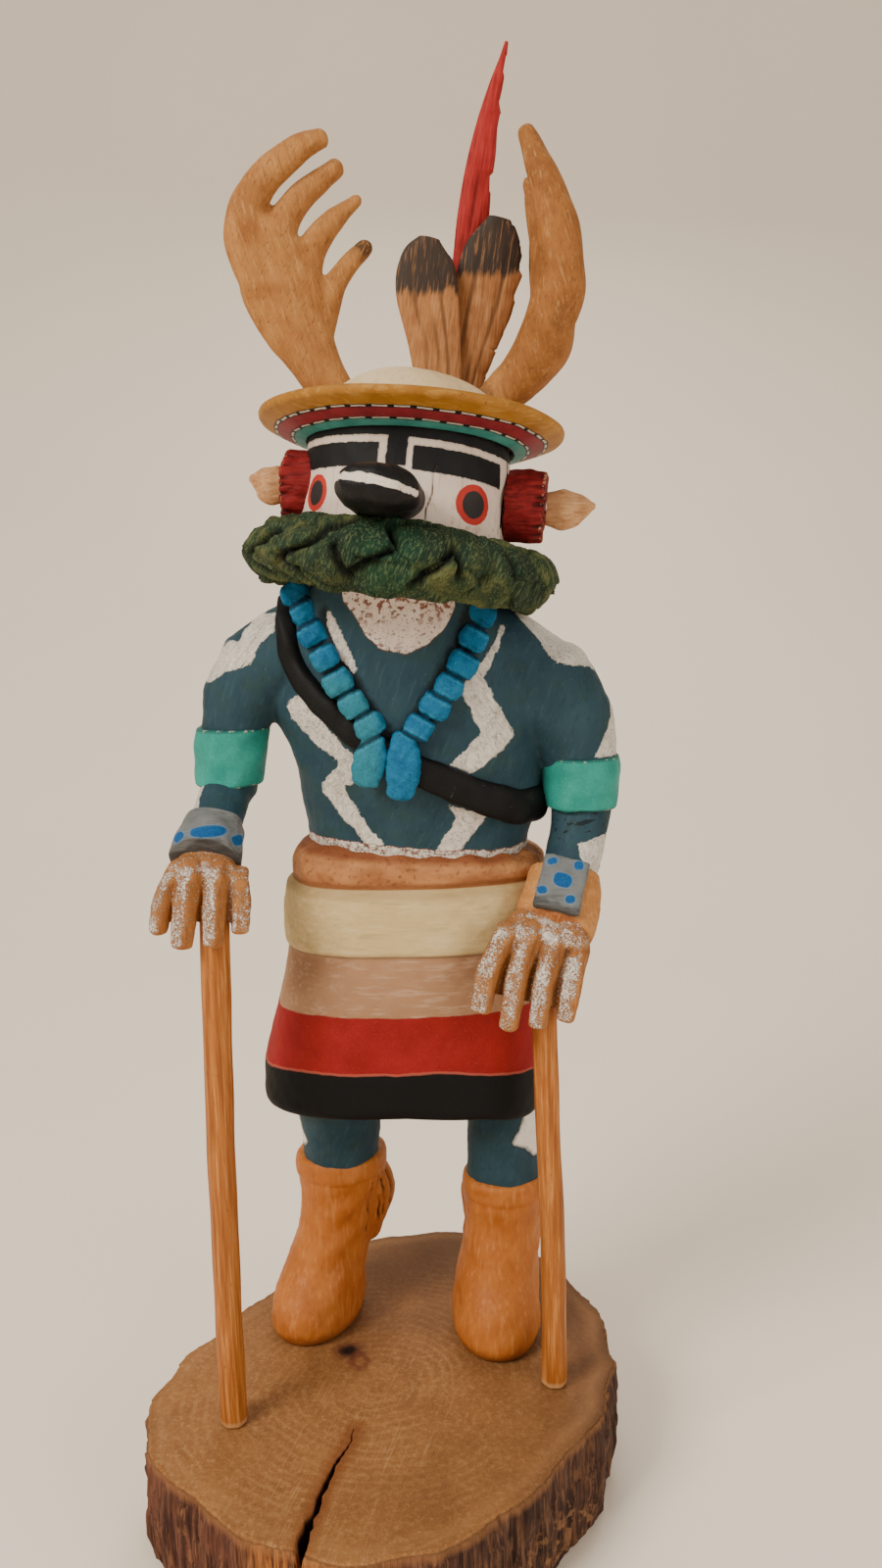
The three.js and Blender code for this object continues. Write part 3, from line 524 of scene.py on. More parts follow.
cane_finish = finish("whittled_cane_wood", cane_recipe)
for side, rows in CANES.items():
    rings = rings_of(rows, level=True, sides=32, steps=120)
    draw_in(rings, (0.86, 0.95), ())
    mesh = skin(f"whittled_cane_{side}", rings)
    points = points_of(mesh)
    facets = np.cos(6 * np.arctan2(points[:, 1] - rows[0][1], points[:, 0] - rows[0][0]))
    push_out(mesh, points, 0.07 * facets + 0.12 * rumple(points * (1, 1, 0.25), 5, 11))
    set_piece(new_object(f"whittled_cane_{side}", mesh), cane_finish, "cane_wood", f"cane_{side}")

# ---- Boots ------------------------------------------------------------------------------
# The tall moccasins are part of the same cottonwood block, shaped with a knife, stained
# orange-tan and rubbed smooth. Each has a rolled top and a fringed flap behind the heel.


def fuse(name, forms, voxel, passes):
    """Overlapping forms of one carved block become a single skin, rubbed smooth."""
    points, faces = [], []
    for rings in forms:
        mesh = skin("form", rings)
        start = sum(len(p) for p in points)
        points.append(points_of(mesh))
        faces += [tuple(start + v for v in face.vertices) for face in mesh.polygons]
        bpy.data.meshes.remove(mesh)
    piece = new_object(name, mesh_of(name, np.vstack(points), faces))
    remesh = piece.modifiers.new("one_block", "REMESH")
    remesh.mode, remesh.voxel_size = "VOXEL", voxel * MM
    if passes:
        rub = piece.modifiers.new("rubbed", "SMOOTH")
        rub.factor, rub.iterations = 0.5, passes
    settle(piece)
    return piece


def gouge(piece, cuts):
    """Sinks lines into a surface: each cut is its points, half width and depth."""
    points, normals = points_of(piece.data), normals_of(piece.data)
    sunk = np.zeros(len(points))
    for line, half, depth in cuts:
        away = line_distance(points, line, (1, 1, 1))
        sunk = np.maximum(sunk, depth * np.clip(1 - away / half, 0, 1) ** 1.3)
    move_points(piece.data, points - normals * sunk[:, None])
    return sunk


def on_skin(points, line):
    """A run of points laid onto the nearest places of a skin."""
    dense = smooth_rows(line, np.linspace(0, 1, 16))
    return points[[np.argmin(((points - place) ** 2).sum(1)) for place in dense]]


LEGS = {
    "left": {
        "turn": -22,
        "shin": [[-10.5, 17, 108, 10.6, 11], [-11.3, 18, 96, 10.7, 11], [-10.6, 22, 84, 10.2, 10.4],
                 [-10.6, 25.5, 70, 9.8, 10]],
        "boot": [[-17.9, 23.8, 28.3, 9.9, 14.8], [-18.1, 23.4, 32, 11.1, 16.3],
                 [-17.6, 23.9, 38, 10.9, 15.5],
                 [-15.4, 26, 46, 10, 13], [-13.1, 27, 54, 9.5, 11.6], [-11.6, 26.8, 62, 9.8, 11.2],
                 [-10.9, 26.2, 69, 11, 11.4]],
        "roll": [[-10.9, 26.2, 69.4, 10.5, 10.9], [-10.85, 26, 70.6, 11.5, 11.9],
                 [-10.8, 25.9, 73.2, 11.8, 12.1],
                 [-10.7, 25.7, 75, 11.6, 11.9], [-10.7, 25.6, 75.8, 10.6, 10.8]],
        "flap": [[-3.6, 29, 69, 4.2, 5.2], [-2.4, 30, 60, 4.8, 5.6], [-4.4, 31, 48, 2.6, 3.8]],
        "fringe": [([-2.4, 19.6, 68], [-1.4, 21.6, 52]), ([-0.4, 21.4, 69], [-0.2, 23.4, 53]),
                   ([1.4, 23.4, 69], [0.6, 26, 55]), ([2.8, 27, 68], [1.4, 29, 56]),
                   ([1.6, 33.4, 66], [-0.6, 33.6, 54]), ([-3, 36, 66], [-4, 35, 54])],
    },
    "right": {
        "turn": 3,
        "shin": [[31.6, 16, 108, 9.2, 10.6], [32, 16.4, 94, 9, 10.4], [32, 18, 82, 9.3, 10.2],
                 [31.8, 19.4, 66, 9.6, 10]],
        "boot": [[29, 15.8, 28.3, 10.2, 15], [29, 15.5, 32, 11.3, 16.3], [29.2, 16, 38, 11.1, 15.5],
                 [30, 18.4, 46, 10.4, 13.2], [31, 19.8, 54, 9.9, 11.6], [31.6, 20.2, 60, 9.9, 11.2],
                 [31.8, 19.8, 65, 10.2, 11]],
        "roll": [[31.8, 19.8, 65.4, 9.8, 10.6], [31.9, 19.6, 66.6, 10.6, 11.4],
                 [31.9, 19.5, 69.2, 10.8, 11.6],
                 [31.9, 19.3, 71, 10.6, 11.4], [31.9, 19.2, 71.8, 9.6, 10.4]],
        "flap": [[24.8, 24.6, 67.6, 3.2, 5.4], [23.8, 25, 61, 3, 5.8], [24.6, 25.6, 51, 2, 4]],
        "fringe": [([21.4, 18.8, 62], [22.6, 20.6, 50]), ([20.8, 22.2, 62.5], [21.6, 23.4, 51]),
                   ([20.8, 26, 62.5], [21.8, 26.6, 52]), ([22, 30, 62], [23, 29.6, 53])],
    },
}


def boot_recipe(s):
    clouds = s.noise(9, 3)
    grain = s.noise(0.9, 3, stretch=9, shift=2)
    fine = s.noise(0.5, 2, shift=9, rough=0.7)
    # cut marks the gouged fringe and creases, which are painted dark as shade in the cuts
    cut = s.mark("sunk")
    hide = clouds.between((160, 88, 31), (180, 108, 47)).coats(
        (s.noise(3.2, 3, shift=5).above(0.6, 0.2) * 0.4, 150, 78, 28),
        (grain.above(0.6, 0.12) * 0.3, 206, 142, 82),
        (grain.below(0.38, 0.1) * 0.35, 132, 70, 30),
        (fine.below(0.36, 0.1) * 0.25, 120, 62, 26),
        (cut.above(0.35, 0.5) * 0.9, 62, 26, 10))
    _, _, z = s.axes()
    # painted shade low on the boot, where it stands on the log
    hide = hide.coats((z.below(BASE_TOP + 2.6, 3) * 0.55, 104, 54, 22))
    return surface(hide, 0.46 + clouds * 0.16, grain * 0.7 + fine * 0.5, 0.14)


boot_finish = finish("rubbed_moccasin_stain", boot_recipe)
for side, leg in LEGS.items():
    across = (math.cos(math.radians(leg["turn"])), math.sin(math.radians(leg["turn"])), 0)
    boot = fuse(f"moccasin_{side}", [
        rings_of(leg["boot"], across, True, 72, 90, 2.1),
        rings_of(leg["roll"], across, True, 72, 24, 2.1),
        rings_of(leg["flap"], across, True, 32, 30, 2.4, (0.6, 1.2)),
    ], 0.57, 3)
    points = points_of(boot.data)
    push_out(boot.data, points, lumps(points, (0.28, 9, 21), (0.06, 2.4, 22))
             * np.clip((points[:, 2] - 28.6) / 2, 0, 1))
    mid_x, mid_y, roll_z = leg["roll"][0][:3]
    around = [(mid_x + 13 * math.cos(a), mid_y + 13.2 * math.sin(a), roll_z + 0.2 * math.sin(5 * a))
              for a in np.linspace(0, 2 * math.pi, 40)]
    ankle_x, ankle_y = leg["boot"][3][:2]
    ankle = [(ankle_x - 8, ankle_y - 13, 51.6), (ankle_x - 2, ankle_y - 14, 50.2),
             (ankle_x + 6, ankle_y - 12, 50.8)]
    cuts = ([(on_skin(points, line), 0.6, 1.0) for line in leg["fringe"]]
            + [(around, 1.5, 0.45), (ankle, 1.5, 0.22)])
    mark(boot.data, "sunk", gouge(boot, cuts))
    set_piece(boot, boot_finish, "figure_paint", "carved_figure")

# ---- Shins ------------------------------------------------------------------------------
# The bare legs between kilt and boot are painted the dull blue of the body. The paint
# stops short on the outer sides, where the white ground still shows.


def worn_blue(s, colour_shift=0):
    """The body's blue-grey paint, brushed thin, with greener and darker clouds."""
    clouds = s.noise(11, 3, shift=colour_shift)
    strokes = s.noise(0.8, 3, stretch=7, turn=(0, 0.35, 0), shift=4)
    fine = s.noise(0.32, 2, shift=6, rough=0.7)
    blue = clouds.between((30, 54, 66), (43, 70, 80)).coats(
        (s.noise(5, 3, shift=colour_shift + 3).above(0.58, 0.2) * 0.6, 42, 64, 60),
        (strokes.above(0.62, 0.12) * 0.25, 66, 94, 100),
        (strokes.below(0.36, 0.1) * 0.4, 24, 40, 48),
        (fine.above(0.68, 0.06) * 0.25, 84, 108, 112))
    return blue, strokes, fine


def shin_recipe(s):
    blue, strokes, fine = worn_blue(s)
    white = s.noise(2.4, 3, shift=12).between((214, 206, 194), (232, 226, 216))
    bare = s.mark("bare") + (s.noise(1.6, 3, shift=13) - 0.5) * 1.2
    colour = bare.below(0, 0.35).over(blue, white).coats((bare.size().below(0.5, 0.4) * 0.5, 30, 40, 44))
    return surface(colour, 0.62 + fine * 0.1, strokes * 0.6 + fine * 0.5, 0.1)


shin_finish = finish("leg_paint", shin_recipe)
SHIN_BARE = {   # outlines of x and z of the bare ground on the outer sides
    "left": [(-30, 101), (-20.8, 98), (-20.2, 90), (-20.3, 84.6), (-18.3, 81.6), (-19.8, 79.3),
             (-30, 78.5)],
    "right": [(48, 101), (36.6, 97), (36.3, 90.4), (35, 87), (33.4, 84.5), (34.1, 83.4), (37, 81.8),
              (39.2, 78.4), (48, 77)],
}
for side, leg in LEGS.items():
    mesh = skin(f"painted_shin_{side}", rings_of(leg["shin"], level=True, sides=84, steps=84))
    points = points_of(mesh)
    push_out(mesh, points, lumps(points, (0.3, 10, 31), (0.07, 2.6, 32)))
    mark(mesh, "bare", outline_distance(points, SHIN_BARE[side]))
    set_piece(new_object(f"painted_shin_{side}", mesh), shin_finish, "figure_paint", "carved_figure")

# ---- Kilt, sash and waist roll ----------------------------------------------------------
# The kilt flares to a thick hem and carries a plain broad sash, with the kilt's rolled top
# bulging over it. All are carved in the block and painted in bands by hand.
KILT = [
    [5.6, 17.6, 96.2, 32.4, 21], [5.8, 17.6, 96.8, 33.8, 22.1], [6, 17.6, 98.4, 34.5, 22.7],
    [6.6, 17.6, 106, 34.6, 23],
    [7.7, 17.5, 113, 33.9, 22.8], [8.6, 17.4, 119, 33.1, 22.6], [9.7, 17, 128, 32, 22.1],
    [10.5, 16.5, 136.2, 31.1, 21.7],
    [10.6, 16.5, 136.9, 31, 21.6], [10.7, 16.4, 137.2, 32, 22.6], [10.9, 16.2, 142, 32.1, 22.7],
    [11.2, 15.9, 147, 32, 22.5],
    [11.6, 15.6, 152.4, 31.4, 21.9], [11.7, 15.5, 153, 30.2, 21], [11.8, 15.4, 153.4, 29.8, 20.8],
    [12, 15.3, 154.8, 30.4, 21.3],
    [12.2, 15.2, 157, 30.6, 21.5], [12.3, 15, 158.8, 29.8, 20.8], [12.4, 14.8, 160.2, 28.2, 19.5],
    [12.5, 14.6, 161, 26.4, 18],
]
KILT_SIDES = 230
kilt_rows = np.array(KILT)
kilt_z = np.r_[96.2, 96.4, np.linspace(96.8, 161, 116)]
kilt_flat = np.stack([np.interp(kilt_z, kilt_rows[:, 2], kilt_rows[:, k]) for k in range(5)], 1)
kilt_flat[1:-1, 3:] = (kilt_flat[:-2, 3:] + 2 * kilt_flat[1:-1, 3:] + kilt_flat[2:, 3:]) / 4
kilt_u, kilt_v = oval(KILT_SIDES, 2.75)
kilt_rings = np.stack([kilt_flat[:, :1] + kilt_flat[:, 3:4] * kilt_u, kilt_flat[:, 1:2] + kilt_flat[:, 4:5]
                       * kilt_v,
                       np.repeat(kilt_flat[:, 2:3], KILT_SIDES, 1)], -1)
hem = kilt_rings[0]
inner = [hem.mean(0) + (hem - hem.mean(0)) * k for k in (0.3, 0.6, 0.85, 0.95)]
kilt = new_object("kilt_and_sash", skin("kilt_and_sash", np.concatenate([np.array(inner), kilt_rings])))
points = points_of(kilt.data)
folds = (0.25 * np.cos(3 * np.arctan2(points[:, 1] - 17.5, points[:, 0] - 8) + 0.6)
         * np.clip((136 - points[:, 2]) / 20, 0, 1))
uneven = lumps(points, (0.35, 16, 41), (0.07, 3, 42))
roll_lumps = 0.45 * rumple(points * (1, 1, 0.6), 7, 43) * np.clip((points[:, 2] - 153.4) / 2, 0, 1)
above_hem = np.clip((points[:, 2] - 96.3) / 1.5, 0, 1)
low_corner = 0.085 * np.clip(points[:, 0] - 8, 0, 40) + 0.2 * np.clip(points[:, 0] - 26, 0, 20)
points[:, 2] -= low_corner * np.clip((116 - points[:, 2]) / 14, 0, 1)
points[:, 2] -= 0.06 * (points[:, 0] - 8) * np.clip((points[:, 2] - 154) / 5, 0,
                                                    1)   # the roll dips to the right
push_out(kilt.data, points, (folds + uneven + roll_lumps) * above_hem)
gouge(kilt, [([(7.4, -6, 98), (8.6, -5.6, 118), (10.8, -5.2, 136)], 0.6,
              0.22),   # two faint cracks down the front
             ([(8.2, -6, 98), (9.4, -5.6, 118), (11.4, -5.2, 136)], 0.5, 0.12)])


def kilt_recipe(s):
    x, _, z = s.axes()
    hand = z + (s.noise(7, 2) - 0.5) * 1.2   # height, as an unsteady hand follows it
    low = 108.3 - (x - 16).most(0) * 0.13 - (x * -1 - 20).most(0) * 0.25
    weave = s.noise(0.34, 3, rough=0.7, shift=2)
    level_strokes = s.noise(0.9, 3, stretch=9, turn=(0, 1.5708, 0), shift=5)
    clouds = s.noise(10, 3, shift=3)
    black = (weave.above(0.62, 0.1) * 0.35).over(tint(9, 8, 8), tint(28, 25, 23))
    black = black.coats((s.noise(0.7, 1, shift=15).above(0.83, 0.01), 196, 190, 180))
    red = clouds.between((125, 16, 18), (147, 26, 25)).coats(
        (weave.above(0.63, 0.12) * 0.3, 192, 74, 60),
        (weave.below(0.37, 0.1) * 0.3, 112, 18, 20))
    taupe = clouds.between((147, 109, 79), (167, 127, 95)).coats(
        (level_strokes.above(0.58, 0.14) * 0.4, 192, 160, 134),
        (weave.below(0.38, 0.1) * 0.35, 128, 94, 72))
    sash = clouds.between((188, 162, 112), (204, 180, 130), 0.48).coats(
        (level_strokes.above(0.6, 0.12) * 0.4, 216, 200, 156),
        (level_strokes.below(0.4, 0.12) * 0.4, 152, 136, 92),
        (s.noise(1.3, 1, shift=21).above(0.8, 0.015), 58, 50, 38),
        # painted shade on the top of the sash, under the bulging roll
        (hand.above(151, 1.4) * 0.5, 150, 120, 78))
    rolled = z + (x - 8) * 0.06
    wood = s.noise(4, 3, stretch=2, turn=(0, 1.5708, 0), shift=8).between((144, 90, 52), (178, 122, 76),
                                                                          0.5, 0.3).coats(
        (s.noise(1.1, 3, shift=9).below(0.4, 0.1) * 0.6, 104, 56, 30),
        (weave.above(0.64, 0.08) * 0.4, 196, 142, 100),
        # painted shade along the roll's top where the torso meets it, and under the roll's bulge
        (rolled.above(159.6, 1.2) * x.below(34, 4) * 0.7, 104, 48, 26),
        (hand.below(154.6, 0.9) * 0.75, 122, 74, 40))
    colour = (hand - low).above(0, 0.3).over(black, red)
    colour = colour.coats(((hand - low).size().below(0.32, 0.2) * 0.5, 190, 96, 76))
    colour = hand.above(122.3, 0.35).over(colour, taupe)
    colour = z.above(137.05, 0.2).over(colour, sash)
    colour = z.above(153.3, 0.25).over(colour, wood).coats(
        ((z - 137).size().below(0.35, 0.3) * 0.6, 112, 88, 66))
    return surface(colour, 0.6 + weave * 0.16, weave * 0.6 + level_strokes * 0.5 + clouds * 0.4, 0.13)


set_piece(kilt, finish("painted_kilt_bands", kilt_recipe), "figure_paint", "carved_figure")

# ---- Torso and arms ---------------------------------------------------------------------
# Chest, shoulders and bent arms are one carving, brushed blue. Broad wavy body marks in
# white, laid on over brown, have worn through to the wood at their edges.
TORSO = [
    [12.9, 13.8, 150, 26.2, 18], [12.5, 14.5, 161, 26.6, 18.5], [13.2, 12.4, 174, 28.8, 19.5],
    [12.5, 10.8, 184, 29.3, 20.4],
    [10.6, 9.6, 195, 31.6, 20.4], [10.3, 8.2, 206, 28.6, 18.6], [9.6, 6, 214, 24.4, 16.6],
    [8.8, 4, 220, 21.6, 15.4],
    [9.6, 1.6, 228, 17, 14.4], [10.2, -1, 236, 16, 14],
]
SHOULDERS = [
    [-26, 9, 201.6, 10.6, 11], [-14.6, 8.6, 208.6, 10.8, 12.4], [2, 7.6, 213, 11, 13.6],
    [18, 7.6, 212, 11, 13.6], [32, 8.6, 206, 11, 12.6], [46, 9, 195.6, 11.4, 11.4],
]
ARMS = {
    "left": {
        "upper": [[-23.2, 9, 208, 9.6, 10.4], [-25.6, 9, 200, 11.2, 11.4], [-29.4, 8.4, 192, 8.4, 9.4],
                  [-31.2, 8, 184, 7.1, 8.4], [-32.4, 7.8, 173.6, 6.4, 7.6]],
        "armband": [[-30.6, 8.1, 190.5, 8.5, 9.7], [-31.1, 8, 186, 8.6, 9.6], [-32.1, 7.7, 177, 7.7, 8.8]],
        "forearm": [[-32.8, 6, 175.4, 6, 7], [-33.3, 0, 171.6, 6.1, 6], [-34.2, -8, 167, 6.1, 5.4],
                    [-34.6, -11, 164.8, 6.4, 4.8]],
        "guard": [[-33.9, -4.6, 169.4, 6.7, 6], [-34.6, -9, 166.4, 7.4, 6.2], [-35.1, -13, 163, 8, 6.4]],
        "palm": [[-34.8, -8.6, 164.4, 5.4, 3.6], [-35, -12.6, 161.4, 7, 4.2],
                 [-35.2, -15.6, 159.8, 8.6, 4.6],
                 [-35.2, -17, 156.6, 9.4, 3.1], [-35.4, -18.4, 150.6, 9.1, 2.3]],
        "fingers": [[[-41.2, -18, 160.2], [-43.4, -20.4, 155.4], [-44.4, -21.6, 149.8]],
                    [[-37, -19, 161.2], [-38.2, -21.4, 155], [-39.2, -23.2, 146.8]],
                    [[-31.4, -19, 161], [-32, -21.4, 155], [-32.3, -23.2, 147]],
                    [[-27, -17.6, 159.4], [-26.4, -19.4, 155], [-26.8, -20.8, 149.2]]],
        "finger_shape": [(34, 1.9, 2.1), (33, 2.35, 2.3), (24, 2.2, 2.2), (-20, 2.1, 2.0)],
    },
    "right": {
        "upper": [[42.4, 9, 204, 10.6, 10.8], [44.8, 9, 194, 13.8, 12.4], [49, 8.4, 185, 10.3, 10.6],
                  [51.2, 7.8, 177, 8.1, 9.2], [50.8, 7, 165, 7, 7.8]],
        "armband": [[51, 8, 181.8, 9.1, 10.2], [51.2, 7.7, 178, 9.2, 10.1], [51, 7, 169.6, 8.4, 9.2]],
        "forearm": [[50.6, 5.6, 166.4, 6.9, 7.4], [48.8, 2, 159, 6.5, 6.4], [46.4, -3, 151.6, 6.4, 5.8],
                    [45, -5.5, 148, 6.6, 5]],
        "guard": [[46.6, -0.4, 155.6, 8, 6.7], [45.6, -2.6, 151.4, 9, 6.9], [44.2, -5.2, 146.4, 9.4, 6.6],
                  [42.6, -7.4, 142.6, 9, 5.6]],
        "palm": [[43.4, -5.6, 146, 7.4, 4.8], [42, -8.2, 143.4, 9.6, 5.2], [41, -9.8, 141.4, 10.4, 4.8],
                 [39.8, -10, 137, 10.4, 3.3], [37.6, -11, 128, 9.6, 2.6]],
        "fingers": [[[31.8, -11.6, 143.4], [27.8, -13, 136], [25.9, -14, 127.2]],
                    [[37.2, -12.8, 143.8], [34, -14.4, 134], [32, -15.4, 123.4]],
                    [[42.6, -12.8, 142.4], [40.2, -14.4, 133.4], [38.6, -15.4, 123.8]],
                    [[47.8, -11.6, 140.4], [46.6, -13.2, 132.4], [45, -14.2, 124.8]]],
        "finger_shape": [(25, 2.5, 2.3), (22, 2.3, 2.3), (20, 2.25, 2.3), (10, 2.4, 2.1)],
    },
}
STROKES = [   # outlines of x and z of the white body marks
    [(-13.2, 199.7), (-16.8, 196.1), (-15.7, 193.5), (-12.8, 190.5), (-9.6, 187), (-5.1, 183.8),
     (-4.8, 182.9),
     (-9.3, 178.1), (-9, 176), (-5.6, 170.9), (-2.7, 167.7), (0.6, 163.2), (5.2, 163.2), (1.2, 167.9),
     (-1.8, 173),
     (-3.8, 177), (-3.6, 177.9), (-1.5, 178.7), (-1, 184.8), (-3.6, 187.4), (-7.3, 191.8), (-10.7, 197.2)],
    [(32.3, 213.2), (33.4, 213.3), (31.8, 208.6), (28.7, 203), (28, 202.1), (29.1, 199.8), (34.8, 188.8),
     (33.8, 186.8),
     (25.3, 180.1), (19.9, 182.7), (21.7, 184.4), (27.3, 189.3), (26.7, 190.6), (23.7, 197.1),
     (23.3, 200.9),
     (26.6, 204.7), (27.3, 204.9), (30.1, 208.7)],
    [(19.4, 173), (28.8, 170.6), (28.3, 169.4), (21.4, 161), (15.6, 161), (19.3, 166.3), (21.4, 170)],
    [(-6.2, 217.4), (-5.2, 217.2), (-1.6, 209.5), (0.4, 204.1), (-0.9, 203.6), (-3.7, 207.3),
     (-5.7, 213.1)],
    [(-18.6, 217), (-23.6, 216.6), (-26.5, 212.2), (-27.1, 210.9), (-29.9, 210.6), (-32, 209), (-38, 206),
     (-38, 201),
     (-34.6, 201.4), (-30.3, 203.9), (-24.2, 205.7), (-22.1, 210.1), (-18.4, 213.2)],
    [(34.5, 217), (42, 217), (52, 210), (58, 204), (62, 198), (62, 182), (58.2, 182), (53.3, 182.3),
     (55.5, 186.2),
     (57.6, 190.2), (58, 196.6), (54.9, 201.6), (52.1, 203.1), (44.4, 204.4), (41.2, 209.3)],
    [(-42, 179), (-36.7, 177.9), (-37.4, 175.4), (-37.3, 173.7), (-36.2, 173.2), (-37.8, 171.7),
     (-38.6, 170.6),
     (-43, 170)],
    [(49.2, 162.6), (53.1, 163.5), (58, 164.3), (58, 158.2), (55, 158), (53.8, 153.6), (51, 157.5),
     (49.8, 159.4)],
]
WAIST = [(-20, 165.6), (-13.7, 164.4), (-7.7, 164.4), (-2.2, 164), (4.3, 163.5), (10.8, 162.8),
         (17.2, 161.9),
         (23.7, 161.7), (30.3, 160.9), (35.7, 161), (39.6, 161.6), (39.6, 156), (-20, 156)]
DARK_EDGES = [   # black paint with painted shade, left beside the strings of beads
    [(-6.4, 218), (-5.1, 215.6), (-2.7, 209.5), (0.5, 202), (5, 194), (8, 189.7), (6.4, 188), (2, 193.7),
     (-2.7, 202.3),
     (-4.1, 205.8), (-6.5, 212.5), (-7.8, 217.4)],
    [(24.6, 218.2), (22.1, 211.3), (18.3, 204.1), (14.4, 198.1), (11.2, 193.9), (9.3, 190.5), (8.3, 188.1),
     (11.7, 190.4),
     (15.6, 196.6), (20, 201.9), (21.9, 204.9), (25.2, 209.5), (27, 216)],
]
BIB = [(-2.6, 219.9), (0.1, 216.2), (2.4, 211.9), (5.4, 209.1), (10.9, 207.7), (16.6, 210.4),
       (20.3, 213.9), (22.2, 218.4)]

body_forms = [rings_of(TORSO, level=True, sides=96, steps=90, power=2.2),
              rings_of(SHOULDERS, (0, 0, 1), sides=64, steps=60)]
for arm in ARMS.values():
    body_forms.append(rings_of(arm["upper"], level=True, sides=56, steps=40, tips=(5.4, 0)))
    body_forms.append(rings_of(arm["forearm"], sides=48, steps=36, tips=(2.4, 0)))
body = fuse("painted_torso_and_arms", body_forms, 0.88, 4)
points = points_of(body.data)
push_out(body.data, points, lumps(points, (0.3, 11, 51), (0.08, 3, 52)))
points = points_of(body.data)
facing = -normals_of(body.data)[:, 1]
front = np.where(facing > -0.15, 0, 20)
wobble = lumps(points, (0.22, 2.6, 53), (0.14, 1.1, 54))
bib_low = np.interp(points[:, 0], [x for x, _ in BIB], [z for _, z in BIB], left=400, right=400)
for name, away in (("stroke", np.min([outline_distance(points, line) for line in STROKES], axis=0)),
                   ("waist", outline_distance(points, WAIST)), ("bib", bib_low - points[:, 2]),
                   ("dark", np.min([outline_distance(points, line) for line in DARK_EDGES], axis=0))):
    mark(body.data, name, away + front + wobble)


def body_recipe(s):
    blue, strokes, fine = worn_blue(s, 1)
    x, y, z = s.axes()
    chips = s.noise(0.6, 4, rough=0.72, shift=17)
    cloud = s.noise(3, 3, shift=18)
    hairs = s.noise(0.5, 3, stretch=9, turn=(0, 0.7, 0), shift=19)
    hairs = (hairs + (s.noise(0.5, 3, stretch=9, turn=(0, -0.7, 0), shift=20) - hairs) * x.above(10, 4)
             * x.below(40, 4))
    stroke, waist, bib, dark = (s.mark(name) for name in ("stroke", "waist", "bib", "dark"))
    black = (s.noise(2, 3, shift=35) - 0.5) * 2.4
    # black paint beside the strings of beads, deepened with painted shade
    black_paint_and_shade = (fine.above(0.62, 0.1) * 0.4).over(tint(17, 20, 22), tint(70, 66, 60))
    colour = ((dark + black).below(0.3, 1.4) * 0.85).over(blue, black_paint_and_shade)
    ground = cloud.between((190, 180, 168), (212, 205, 194)).coats(
        (hairs.above(0.56, 0.1) * 0.5, 228, 222, 212),
        (hairs.below(0.42, 0.1) * 0.5, 142, 138, 132))
    speck = ((chips.below(0.37, 0.05) + hairs.below(0.33, 0.04)).least(1)
             * s.noise(3, 2, shift=31).above(0.46, 0.12))
    paint = (stroke + (chips - 0.5) * 0.8 + (hairs - 0.5) * 1.2).below(0, 0.22)
    colour = paint.over(colour, (speck * 0.85).over(ground, tint(34, 44, 48)))
    rust = chips.between((112, 56, 34), (54, 28, 20), 0.58, 0.06)
    rumpled = s.noise(1.2, 4, rough=0.7, shift=36)
    colour = (waist + (chips - 0.5) * 0.9).below(0.1, 0.25).over(colour,
                                                                 rumpled.above(0.5,
                                                                               0.3).over(tint(148, 92, 60),
                                                                                         rust))
    white_band = ((waist + (chips - 0.5) * 1.6).below(-0.1, 0.25)
                  * (waist + (rumpled - 0.5) * 6).above(-3.8, 0.5))
    chipped = ((chips.above(0.57, 0.05) + rumpled.above(0.56, 0.05)).least(1) * 0.85).over(ground, rust)
    colour = white_band.over(colour, chipped)
    worn = (s.noise(0.55, 4, rough=0.7, shift=40).above(0.6, 0.04)
            * s.noise(2.4, 3, shift=42).above(0.42, 0.15)
            + s.noise(1.5, 4, stretch=2.6, shift=43).above(0.68, 0.03)
            + bib.above(-2.4, 3) * s.noise(0.9, 3, shift=45).above(0.57, 0.05) * x.below(10, 14)
            + z.above(215, 5) * s.noise(1.2, 3, shift=41).above(0.56, 0.05)).least(1)
    plaster = cloud.between((206, 188, 174), (222, 208, 196))
    colour = colour.coats(
        ((bib.size() - 0.2).below(0.2, 0.3) * chips.above(0.48, 0.1) * 0.8, 92, 60, 42))
    colour = (bib + (chips - 0.5) * 0.9).below(0, 0.25).over(colour, (worn * 0.9).over(plaster, rust))
    band = (s.noise(0.9, 3, stretch=5, turn=(0, 1.4, 0), shift=44).above(0.6, 0.04)
            * x.above(40, 2) * (z - 166.4).size().below(3.4, 1.2) * y.below(6, 3))
    flecks = s.noise(0.45, 2, shift=46).above(0.75, 0.02) * s.noise(8, 2, shift=47).above(0.52, 0.1)
    colour = colour.coats(
        (band * 0.8, 14, 17, 19),
        (flecks * 0.6, 164, 166, 158))
    raised = (stroke.below(0, 0.4) + bib.below(0, 0.4)).least(1)
    return surface(colour, 0.58 + fine * 0.14,
                   strokes * 0.6 + fine * 0.5 + raised * (1.4 - worn * 0.9) + raised * hairs * 0.8, 0.12)


set_piece(body, finish("body_paint", body_recipe), "figure_paint", "carved_figure")

# ---- Armbands ---------------------------------------------------------------------------
# A raised band round each upper arm, carved in the block and painted bright turquoise,
# with flecks where the brush skipped and bare chips along the edges.


